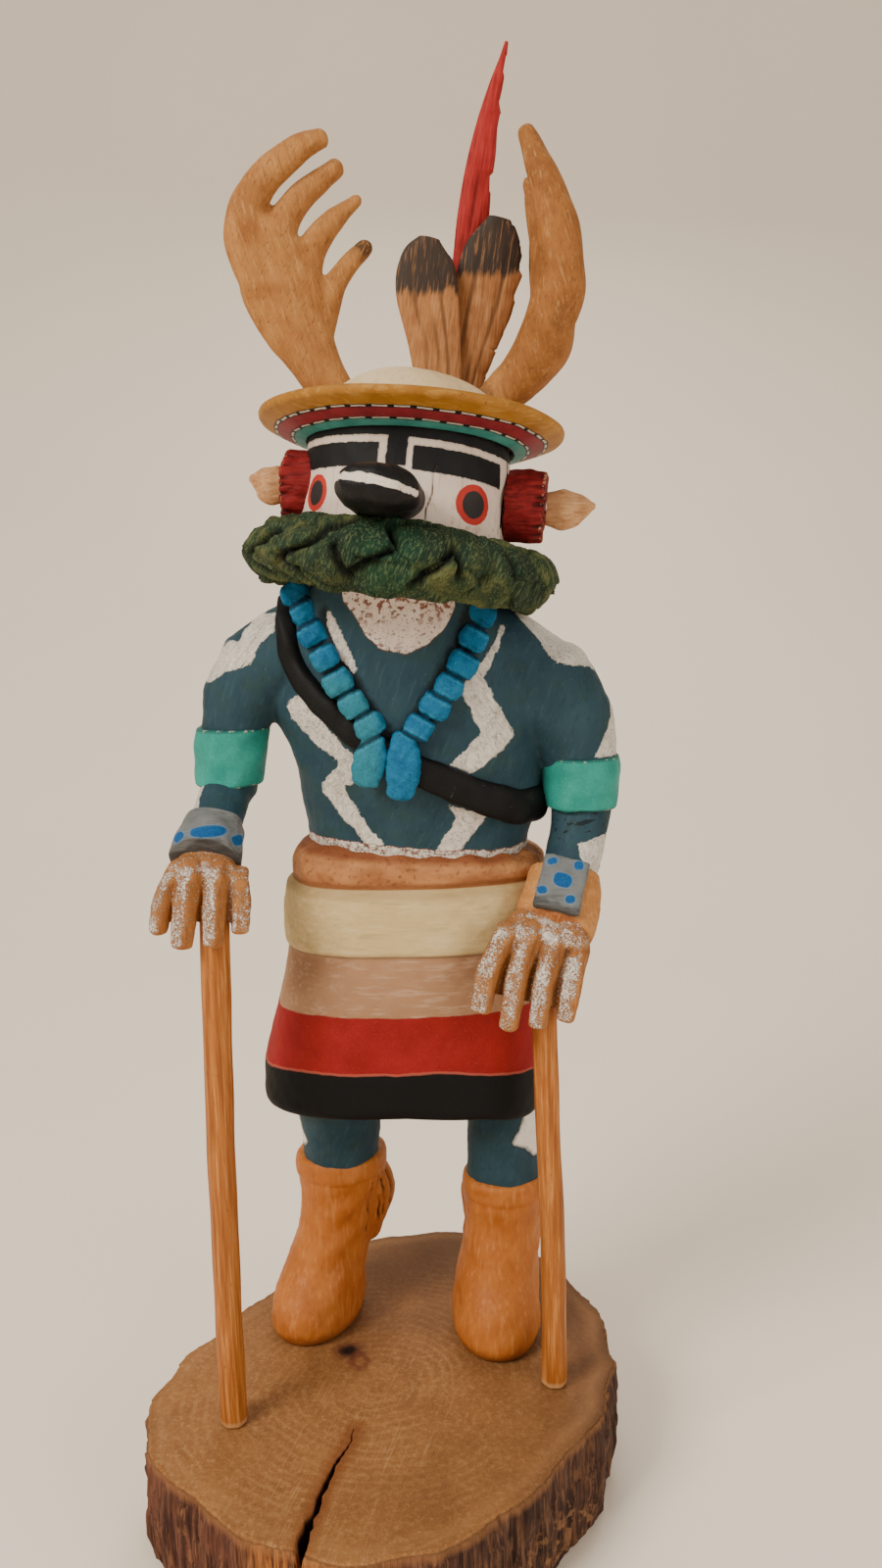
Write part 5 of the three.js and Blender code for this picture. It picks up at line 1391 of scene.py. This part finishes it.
def hoop(name, points, count, sides, outward=True):
    """A closed mesh round a hoop of rings."""
    i, s = np.meshgrid(np.arange(count), np.arange(sides), indexing="ij")
    j, n = (i + 1) % count, (s + 1) % sides
    corners = [i * sides + s, j * sides + s, j * sides + n, i * sides + n]
    if not outward:
        corners = corners[:1] + corners[:0:-1]
    return mesh_of(name, points, np.stack(corners, -1).reshape(-1, 4).tolist())


mesh = hoop("spruce_collar", ring_points, RUFF_AROUND, RUFF_SIDES)
front = line_distance(flat, [(girth * 0.757, 0, 7), (girth * 0.765, 0, -4)])
for name, values in (("near", near), ("sunk", sunk), ("shade", shade_of[first]), ("front", front)):
    mark(mesh, name, values)


def ruff_recipe(s):
    fine = s.noise(0.4, 3, rough=0.75)
    needle = s.noise(0.42, 3, stretch=9, turn=(0, 0.4, 0), shift=2)
    clouds = s.noise(6, 3, shift=3)
    patch = s.noise(3, 3, shift=5)
    shade = s.mark("shade") + (clouds - 0.5) * 0.7
    green = shade.between((30, 46, 31), (58, 70, 40), 0.5, 0.7)
    crest = patch.above(0.52, 0.16) * s.mark("near").above(1.1, 1.4) * shade.above(0.35, 0.4)
    green = green.coats(
        (crest * 0.6, 104, 104, 60),
        (patch.below(0.42, 0.12) * 0.6, 22, 48, 38),
        (s.mark("front").below(6.5, 5) * s.noise(2.6, 2, shift=9).above(0.42, 0.2) * 0.85, 18, 58, 38),
        (needle.above(0.57, 0.08) * 0.5, 98, 110, 72),
        (needle.below(0.43, 0.08) * 0.5, 15, 26, 16),
        (fine.above(0.67, 0.04) * 0.4, 140, 142, 98),
        # painted shade deep in the knife gouges
        (s.mark("sunk").above(0.9, 1.4) * 0.9, 9, 15, 10))
    return surface(green, 0.6 + fine * 0.2, needle * 1.3 + fine * 0.8 + patch * 0.4, 0.24)


set_piece(new_object("spruce_collar", mesh), finish("stippled_spruce_green", ruff_recipe), "ruff_paint",
          "spruce_ruff")

# ---- Hat brim ---------------------------------------------------------------------------
# A thin turned ring fits round the top of the mask. Its sloping underside is painted in
# rings of ochre, crimson and turquoise, parted by black lines with white dashes.
BRIM_SEAT = HEAD @ Matrix.Translation((0, 0, 0.9)) @ Matrix.Rotation(math.radians(-1.9), 4, "Y")
BRIM = [(22.8, -4.8), (24.6, -4.3), (26.6, -3.7), (28.6, -2.95), (31, -1.95), (33.1, -0.95), (33.5, -0.4),
        (33.6, 0.2),
        (33.4, 0.7), (33, 0.9), (28, 0.6), (22.8, 0.2)]
BRIM_SIDES = 480
brim_fine = []
for (r0, h0), (r1, h1) in zip(BRIM[:-1], BRIM[1:]):
    steps = max(2, int(abs(r1 - r0) / 0.35))
    brim_fine += [(h0 + (h1 - h0) * k / steps, r0 + (r1 - r0) * k / steps) for k in range(steps)]
brim_fine.append((BRIM[-1][1], BRIM[-1][0]))
turn = 2 * np.pi * np.arange(BRIM_SIDES) / BRIM_SIDES
rows = len(brim_fine)
local = np.array([[(r * math.sin(a), -r * math.cos(a), h) for a in turn] for h, r in brim_fine])
warp = 0.12 * rumple(local.reshape(-1, 3), 20, 111)
local = local.reshape(-1, 3) + np.stack([0 * warp, 0 * warp, warp], 1)
mesh = hoop("painted_hat_brim", placed(local, BRIM_SEAT), rows, BRIM_SIDES, False)
brim_turn = np.tile(turn, rows)
mark(mesh, "radius", np.hypot(local[:, 0], local[:, 1]) + 0.12 * rumple(local, 4, 112))
mark(mesh, "under", np.repeat([1.0 if k < rows * 0.62 else 0.0 for k in range(rows)], BRIM_SIDES))
for name, count in (("outer_dash", 41), ("inner_dash", 32)):
    mark(mesh, name, abs((brim_turn * count / (2 * np.pi)) % 1 - 0.5) * 2)


def brim_recipe(s):
    fine = s.noise(0.45, 3, rough=0.7)
    clouds = s.noise(5, 3, shift=2)
    strokes = s.noise(0.9, 3, stretch=6, turn=(0, 1.5708, 0.3), shift=3)
    radius = s.mark("radius") + (s.noise(1.4, 3, shift=4) - 0.5) * 0.3
    ochre = clouds.between((142, 92, 30), (168, 116, 44)).coats(
        (strokes.above(0.58, 0.1) * 0.4, 190, 144, 72))
    x, *_ = s.axes()
    ochre = ochre.coats(
        (s.noise(1.0, 3, shift=8).above(0.66, 0.03) * x.above(12, 8) * x.below(34, 8) * 0.85, 92, 34, 22))
    crimson = clouds.between((112, 24, 34), (142, 42, 50)).coats(
        (fine.above(0.64, 0.06) * 0.4, 172, 84, 82))
    teal = clouds.between((44, 120, 114), (70, 150, 140)).coats(
        (fine.above(0.64, 0.06) * 0.4, 126, 180, 164))
    ink = fine.between((14, 14, 15), (32, 30, 29), 0.6, 0.2)
    white = fine.between((186, 172, 156), (218, 206, 190), 0.5, 0.3)
    colour = radius.below(25.9, 0.1).over(crimson, teal)
    for low, high, dash in ((25.5, 26.35, "inner_dash"), (29.2, 30.05, "outer_dash")):
        line = radius.above(low - 0.06, 0.1) * radius.below(high + 0.06, 0.1)
        within = radius.above(low + 0.2, 0.1) * radius.below(high - 0.2, 0.1)
        if dash == "outer_dash":
            colour = radius.above(low, 0.1).over(colour, ochre)
        dashes = (s.mark(dash) + (fine - 0.5) * 0.12).below(0.7, 0.06) * within
        colour = line.over(colour, dashes.over(ink, white))
    colour = radius.below(22.9, 0.15).over(colour, ink)
    colour = s.mark("under").above(0.5, 0.2).over(ochre, colour)
    return surface(colour, 0.48 + fine * 0.16, strokes * 0.6 + fine * 0.6, 0.1)


set_piece(new_object("painted_hat_brim", mesh), finish("ringed_brim_paint", brim_recipe), "brim_paint",
          "hat_brim")

# ---- Snout ------------------------------------------------------------------------------
# The mask's blunt tube snout is a separate peg of wood, painted black with a brownish
# painted highlight on its glossy top and one pale line across its end for the mouth.
SNOUT = [[-0.2, -22.9, -18.75, 8.1, 4.4], [-0.4, -27, -18.6, 8.5, 4.8], [-0.6, -34, -18.5, 8.2, 4.8],
         [-0.8, -38, -18.4, 6.6, 4]]
rings = rings_of(SNOUT, sides=160, steps=72, power=2.2, tips=(0, 3.2))
mesh = skin("tube_snout", on_mask(rings))
local = placed(points_of(mesh), HEAD.inverted())
mouth_top = np.interp(local[:, 0], [-8, -5, -2.6, 2.4, 5.8, 7.6], [-16.9, -17.1, -17, -17.6, -18.4, -18.5])
mouth_low = np.interp(local[:, 0], [-8.3, -2.3, 2.6, 6, 7.5], [-18.2, -18.9, -19.5, -19.8, -19.7])
mouth_end = (local[:, 1] + np.where(local[:, 0] < -4, 24, 33.5)) * 0.5
mouth = np.maximum(np.maximum(local[:, 2] - mouth_top, mouth_low - local[:, 2]), mouth_end)
speck = 0.34 - np.hypot(local[:, 0] + 1.8, local[:, 2] + 18.1)
mark(mesh, "mouth", np.maximum(mouth + 0.18 * rumple(local, 1.6, 121), speck * 3))
mark(mesh, "top", np.clip((local[:, 2] + 16.4) / 2, 0, 1))
points = points_of(mesh)
push_out(mesh, points, 0.22 * rumple(points, 5, 122) - 0.25 * np.clip(-mouth, 0, 0.8))


def snout_recipe(s):
    fine = s.noise(0.45, 3, rough=0.7)
    clouds = s.noise(3.6, 3, shift=2)
    ink = clouds.between((13, 13, 14), (26, 25, 26)).coats(
        # painted highlight on the top of the snout
        (s.mark("top").above(0.6, 0.5) * s.noise(1.8, 3, shift=4).above(0.5, 0.14) * 0.6, 78, 56, 40),
        (fine.above(0.7, 0.04) * 0.4, 66, 62, 58))
    mouth = (s.mark("mouth") + (fine - 0.5) * 0.5).below(0, 0.16)
    pale = fine.between((206, 192, 176), (232, 224, 212), 0.5, 0.3).coats(
        (s.noise(0.7, 3, shift=7).above(0.68, 0.03), 30, 28, 28))
    return surface(mouth.over(ink, pale), 0.34 + fine * 0.16 + mouth * 0.2, fine + clouds * 0.5, 0.12)


set_piece(new_object("tube_snout", mesh), finish("black_snout_paint", snout_recipe), "snout_paint", "snout")

# ---- Ear rosettes and points ------------------------------------------------------------
# Each ear is a thick wooden disc glued to the side of the mask, scored along its rim to
# look like a bunched flower and stained dark red. A little wooden point is pegged into it.
EARS = {"left": (-1, (-21.5, -4.4, -14.6), 7.6), "right": (1, (26.6, 1.2, -14.0), 10)}
ROSETTE_RADIUS, ROSETTE_HALF = 8.0, 4.2


def rosette_recipe(s):
    fine = s.noise(0.5, 3, rough=0.7)
    fibre = s.noise(0.6, 3, stretch=7, turn=(0, 1.5708, 0), shift=2)
    clouds = s.noise(3.6, 3, shift=3)
    bare = s.mark("edge").above(0.45, 0.3) * s.noise(1.0, 3, shift=6).above(0.56, 0.06)
    red = clouds.between((104, 18, 20), (134, 30, 30)).coats(
        (fibre.above(0.58, 0.1) * 0.45, 150, 46, 40),
        (fibre.below(0.4, 0.1) * 0.6, 56, 9, 11),
        # painted shade in the scored cuts
        (s.mark("sunk").above(0.3, 0.5) * 0.8, 34, 6, 8),
        (bare * 0.8, 186, 138, 102))
    return surface(red, 0.6 + fine * 0.2, fibre + fine * 0.7, 0.2)


def ear_point_recipe(s):
    grain = s.noise(0.6, 3, stretch=8, turn=(0, 1.5708, 0))
    clouds = s.noise(3, 3, shift=2)
    wood = clouds.between((168, 118, 76), (194, 148, 104)).coats(
        (grain.above(0.6, 0.1) * 0.5, 212, 172, 130),
        (grain.below(0.4, 0.1) * 0.5, 122, 76, 44))
    return surface(wood, 0.6 + grain * 0.15, grain + clouds * 0.4, 0.14)


rosette_finish = finish("scored_rosette_red", rosette_recipe)
ear_point_finish = finish("plain_ear_wood", ear_point_recipe)
for side, (sign, (x, y, z), reach) in EARS.items():
    rng = np.random.default_rng(130 + sign)
    count, rim = 280, ROSETTE_RADIUS
    turn = 2 * np.pi * np.arange(count) / count
    scores = np.zeros(count)
    for k in range(19):
        at_turn = 2 * np.pi * (k + rng.uniform(-0.36, 0.36)) / 19
        away = abs((turn - at_turn + np.pi) % (2 * np.pi) - np.pi) * rim
        scores = np.maximum(scores, rng.uniform(0.2, 1.3)
                            * np.clip(1 - away / rng.uniform(0.45, 0.9), 0, 1))
    bunches = rng.uniform(-1, 1, 14)
    lobes = 0.35 * np.interp(turn, np.linspace(0, 2 * np.pi, 15), np.r_[bunches, bunches[0]])
    profile = [(-1, share * rim) for share in (0.3, 0.7, 0.9, 0.97)]   # how far out, radius
    profile += [(t, rim * (1 - 0.03 * t * t)) for t in np.linspace(-0.96, 0.9, 22)]
    profile += [(0.96, rim * 0.965), (1.0, rim * 0.93)]
    profile += [(1.0 - 0.1 * (1 - q), rim * q) for q in np.linspace(0.88, 0.04, 16)]
    rings, depth_marks, edge_marks = [], [], []
    for t, r in profile:
        notch = np.clip((t - 0.35) / 0.65, 0, 1) if r > rim * 0.9 else 0.6 * r / rim
        cut = scores * (0.14 + 1.0 * notch) * min(1, r / rim * 1.2)
        out = r - cut - lobes * (0.5 + notch) if r > rim * 0.86 else np.full(count, r)
        in_x = np.zeros(count) if r > rim * 0.86 else 0.5 * cut
        out_x = np.full(count, x) + sign * (ROSETTE_HALF * t - in_x)
        rings.append(np.stack([out_x, y + out * np.cos(turn), z + out * np.sin(turn)], 1))
        depth_marks.append(cut)
        edge_marks.append(np.full(count, 1.0 if 0.86 < t and r > rim * 0.86 else 0.0))
    rings = np.array(rings)
    rosette = skin(f"scored_rosette_{side}", on_mask(rings))
    for name, values in (("sunk", np.array(depth_marks).ravel()), ("edge", np.array(edge_marks).ravel())):
        mark(rosette, name, np.r_[values, 0, 0])
    points = points_of(rosette)
    push_out(rosette, points, 0.18 * rumple(points, 3.6, 131))
    set_piece(new_object(f"scored_rosette_{side}", rosette), rosette_finish, "rosette_paint",
              f"ear_rosette_{side}")
    root = x + sign * (ROSETTE_HALF + 0.35)
    rows = [[root + sign * reach * out, y + dy, z + dz, high, thick] for out, dy, dz, high, thick in
            ((0, 0, 0, 3.6, 2.2), (0.4, 0.1, 0.2, 4.4, 2.3), (0.75, 0.4, 1, 3, 1.7), (1, 0.6, 1.4, 1, 0.8))]
    rings = rings_of(rows, (0, 0, 1), sides=44, steps=44, power=1.8, tips=(0, 0.8))
    point = skin(f"wooden_ear_point_{side}", on_mask(rings))
    points = points_of(point)
    push_out(point, points, 0.2 * rumple(points, 3.4, 133))
    set_piece(new_object(f"wooden_ear_point_{side}", point), ear_point_finish, "ear_wood",
              f"ear_point_{side}")

# ---- Antlers ----------------------------------------------------------------------------
# Two branching antlers whittled from a natural fork, glued into the crown. They are left
# in bare wood with fuzzy darker fibres and a charred-looking tip, with painted shade at the
# roots and in a crease, and the right antler painted darker all over as shade.
ANTLERS = {
    "left": [
        [[-0.6, 2, 261, 3.8, 3.6], [-4.8, 2, 267, 5, 3.8], [-9.1, 2, 274.6, 6.5, 3.9],
         [-12.1, 2, 282, 8.7, 3.9],
         [-14.6, 2, 289, 8.8, 3.8], [-17.6, 1.8, 296, 6.9, 3.6], [-20.6, 1.6, 301, 4.4, 3.3]],
        [[-15.4, 1.6, 284, 4.4, 3.2], [-20.5, 1, 293, 4.6, 3.6], [-20.9, 0.6, 302, 4.1, 3.3],
         [-16.4, 0.6, 309.2, 3.5, 3], [-9.6, 0.6, 314.2, 3, 2.7], [-4, 1, 316.8, 2.1, 2]],
        [[-15, 2, 290, 4, 3], [-14, 2, 298.4, 3.7, 3], [-8.8, 2.4, 305.9, 3, 2.6],
         [-1.2, 3, 311.5, 2.1, 1.9]],
        [[-10.4, 2.6, 284, 4, 3], [-7.4, 3, 294.6, 3.2, 2.7], [-3.2, 3.4, 300.2, 2.6, 2.2],
         [2.6, 4, 305, 1.4, 1.4]],
        [[-6.4, 2.8, 278, 3.6, 3], [-3.4, 3.2, 286, 2.9, 2.6], [0.6, 3.8, 291.6, 2.3, 2.1],
         [4.4, 4.2, 295.4, 1.6, 1.6]],
    ],
    "right": [
        [[28.6, 2, 259.6, 4, 4.4], [37, 1, 266.4, 5, 5], [42.4, 0, 273, 6, 6.4], [44.7, 0, 281, 5.2, 8],
         [44.9, 2, 289, 4, 8], [44.6, 4, 296, 2.4, 4.6]],
        [[42, -2, 274, 5, 4.4], [46, -5, 284, 5.3, 4.6], [45.6, -5.6, 295, 4.7, 4.4],
         [42.7, -4, 306.6, 3.5, 3.6],
         [39.2, -2, 316.4, 1.9, 1.9]],
        [[44.6, 5, 286, 4, 3.6], [43.8, 6, 296, 3.4, 3.2], [42, 8, 304, 2.6, 2.6],
         [40.8, 10.6, 309.4, 1.8, 1.8]],
        [[43.4, 8, 282, 3.6, 3.4], [43.6, 12.4, 291, 2.8, 2.8], [42.6, 16.4, 299.4, 1.6, 1.6]],
        [[42, 6, 273, 3.4, 3.4], [42.6, 13, 279, 3, 3], [43.4, 18.4, 285.4, 2.2, 2.2],
         [43.6, 22.4, 291.6, 1.5, 1.5]],
    ],
}
ANTLER_FLAT = {"left": (0, 1, 0), "right": (0.1, 1, 0)}
# centre and reach of each dark place: a charred-looking tip, and painted shade at the roots and in a crease
# of the right antler
ANTLER_DARK_TIP_AND_SHADE = {"left": [((4.4, 4.2, 295.4), 3.4), ((-1, 2, 262), 4)],
               "right": [((45, -9, 277), 2.5), ((30, 2, 261), 5)]}


def antler_recipe(s):
    grain = s.noise(0.6, 4, stretch=10, turn=(0, -0.25, 0), rough=0.65)
    fuzz = s.noise(0.5, 3, stretch=5, turn=(0, 0.5, 0), shift=3, rough=0.7)
    clouds = s.noise(5, 3, shift=2)
    wood = clouds.between((148, 94, 46), (176, 122, 66))
    x, _, _ = s.axes()
    # the right antler is painted darker brown all over, as painted shade on the side away from the key lamp
    wood = (x.above(34, 6) * 0.6).over(wood, clouds.between((116, 66, 26), (150, 92, 42)))
    # dark: the charred-looking tip, and painted shade at the roots and in the right antler's crease
    dark = (s.mark("dark") + (clouds - 0.5) * 4).below(0, 2) * fuzz.below(0.58, 0.2)
    wood = wood.coats(
        (grain.above(0.6, 0.1) * 0.35, 206, 160, 106),
        (grain.below(0.4, 0.1) * 0.45, 114, 68, 34),
        (fuzz.below(0.38, 0.06) * 0.55, 78, 44, 22),
        (dark * (0.85 - x.above(34, 6) * 0.55), 50, 38, 30))
    return surface(wood, 0.62 + grain * 0.15, grain + fuzz * 0.9, 0.2)


antler_finish = finish("bare_antler_wood", antler_recipe)
for side, prongs in ANTLERS.items():
    forms = [rings_of([[x, y, z, thick, wide] for x, y, z, wide, thick in rows], ANTLER_FLAT[side],
                      sides=44, steps=60,
                      power=2.1, tips=(0, 1.4)) for rows in prongs]
    antler = fuse(f"whittled_antler_{side}", forms, 0.6, 4)
    points = points_of(antler.data)
    knife = 0.26 * rumple(points * (1, 1, 0.5), 6, 141) + 0.05 * rumple(points * (1, 1, 0.35), 2, 142)
    push_out(antler.data, points, knife)
    dark = np.min([np.linalg.norm(points - centre, axis=1) - reach for centre, reach in ANTLER_DARK_TIP_AND_SHADE[side]],
                  axis=0)
    mark(antler.data, "dark", dark)
    set_piece(antler, antler_finish, "antler_wood", f"antler_{side}")

# ---- Feathers ---------------------------------------------------------------------------
# Three flat feathers split from thin wood stand in a slot of the crown: two plain ones with
# brushed dark tips, and a tall narrow red one with a nicked edge.
FEATHERS = {
    "left": ([[20, 6, 262, 4.9], [19.2, 6, 274, 5.8], [17.6, 5.9, 286, 6.8], [17.6, 5.8, 293, 5.8],
              [18.4, 5.7, 297.4, 2.4]], 1.4, 286, 0.1),
    "right": ([[23.8, 9.2, 260, 3.2], [26.6, 9.3, 272, 5.2], [30, 9.5, 284, 7], [32.8, 9.7, 295, 6.8],
               [34.2, 9.8, 302, 2.8]], 1.4, 290, 0.4),
    "red": ([[24.6, 13.2, 262, 2.6], [25.6, 13.2, 284, 3.2], [28.8, 13.2, 306, 3.6], [32.4, 13.2, 324, 2.5],
             [36.3, 13, 339, 0.4]], 1.1, 999, 1.1),
}


def feather_recipe(base, deep, light, tip):
    def recipe(s):
        grain = s.noise(0.5, 3, stretch=14, turn=(0, 0.15, 0))
        clouds = s.noise(4, 3, shift=2)
        wood = clouds.above(0.5, 0.4).over(tint(*base), tint(*light))
        wood = (grain.above(0.58, 0.1) * 0.4).over(wood, tint(*[min(255, c + 22) for c in light]))
        wood = (grain.below(0.42, 0.1) * 0.5).over(wood, tint(*deep))
        # painted shade in the carved grooves
        wood = (s.mark("groove").above(0.3, 0.5) * 0.6).over(wood, tint(*[int(c * 0.66) for c in deep]))
        streak = s.noise(1.1, 3, stretch=7, turn=(0, 0.15, 0), shift=5)
        dark = (s.mark("tip") + (streak - 0.5) * 7).above(0, 1.6) * (0.95 - grain.above(0.6, 0.1) * 0.4)
        wood = dark.over(wood, tint(*tip))
        return surface(wood, 0.58 + grain * 0.15, grain + clouds * 0.3, 0.14)
    return recipe


FEATHER_FINISH = {
    "plain": finish("plain_feather_wood", feather_recipe((143, 91, 50), (112, 70, 40), (173, 120, 74),
                                                         (46, 42, 39))),
    "red": finish("red_feather_stain", feather_recipe((140, 28, 26), (88, 14, 14), (162, 40, 36),
                                                      (96, 18, 18))),
}
for side, (rows, thickness, tip_height, nick) in FEATHERS.items():
    rng = np.random.default_rng(150 + len(side))
    steps, sides = 170, 56
    rings = rings_of([[*p, thickness] for p in rows], sides=sides, steps=steps, power=2.3)
    u, _ = oval(sides, 2.3)
    nicks = np.interp(np.arange(steps + 1), np.sort(rng.choice(steps, 26, replace=False)),
                      rng.uniform(0, nick, 26))
    middle = rings.mean(1, keepdims=True)
    nicked = u > 0.2
    reach = np.clip((u[nicked] - 0.2) / 0.6, 0, 1)[None, :, None]
    rings[:, nicked] -= (rings - middle)[:, nicked] * (nicks[:, None, None] * 0.35) * reach
    mesh = skin(f"split_feather_{side}", rings)
    points = points_of(mesh)
    across_share = np.r_[np.tile(u, steps + 1), 0, 0]
    face = abs(normals_of(mesh)[:, 1])
    ribs = [0.0] if side == "red" else [-0.42, 0.02, 0.44]
    drift = 0.05 * rumple(points, 16, 151)
    groove = np.max([np.clip(1 - abs(across_share - rib - drift) / 0.075, 0, 1) for rib in ribs], axis=0)
    groove *= np.clip((face - 0.3) * 2, 0, 1) * np.clip((rows[-1][2] - 3 - points[:, 2]) / 6, 0, 1)
    push_out(mesh, points, 0.12 * rumple(points * (1, 1, 0.4), 5, 152) - 0.35 * groove)
    mark(mesh, "groove", groove)
    mark(mesh, "tip", points[:, 2] - tip_height if side != "red" else 268 - points[:, 2])
    set_piece(new_object(f"split_feather_{side}", mesh),
              FEATHER_FINISH["red" if side == "red" else "plain"],
              "feather_red" if side == "red" else "feather_wood", f"feather_{side}")

# ---- Floor and light --------------------------------------------------------------------
# A plain pale sweep stands under and behind the doll, lit by large soft lamps with the main
# one high on the left.
bend = np.linspace(0, math.pi / 2, 60)
sweep = [(-1200, 0), *zip(400 + 1000 * np.sin(bend), 1000 - 1000 * np.cos(bend)), (1400, 2400)]
points = [(x, y, z) for y, z in sweep for x in (-2400, 2400)]
mesh = mesh_of("pale_floor", points, [(2 * k, 2 * k + 1, 2 * k + 3, 2 * k + 2) for k in range(61)])
mesh.shade_smooth()


def floor_recipe(s):
    clouds = s.noise(220, 2)
    return {"Base Color": clouds.between((243, 230, 213), (247, 234, 217), 0.5, 0.5), "Roughness": 0.6
            + clouds * 0.1}


floor = new_object("pale_floor", mesh)
mesh.materials.append(finish("pale_floor_paper", floor_recipe))

LAMPS = [("key_lamp", (-0.75, -0.75, 0.95), 0.6, 18.4, (1, 0.945, 0.86)),
         ("fill_lamp", (0.9, -0.8, 0.5), 0.9, 6, (1, 0.965, 0.92)),
         ("back_lamp", (0.1, 0.8, 1.1), 0.8, 6, (1, 0.97, 0.94))]
for name, place, size, power, colour in LAMPS:
    lamp = bpy.data.lights.new(name, "AREA")
    lamp.shape, lamp.size, lamp.energy, lamp.color = "DISK", size, power, colour
    lamp_object = bpy.data.objects.new(name, lamp)
    lamp_object.location = place
    lamp_object.rotation_euler = (Vector((0, 0, 0.16)) - Vector(place)).to_track_quat("-Z", "Y").to_euler()
    bpy.context.collection.objects.link(lamp_object)
world = bpy.data.worlds.new("studio_air")
bpy.context.scene.world = world
world.use_nodes = True
air = world.node_tree.nodes["Background"].inputs
air["Color"].default_value, air["Strength"].default_value = tint(238, 226, 211), 0.58
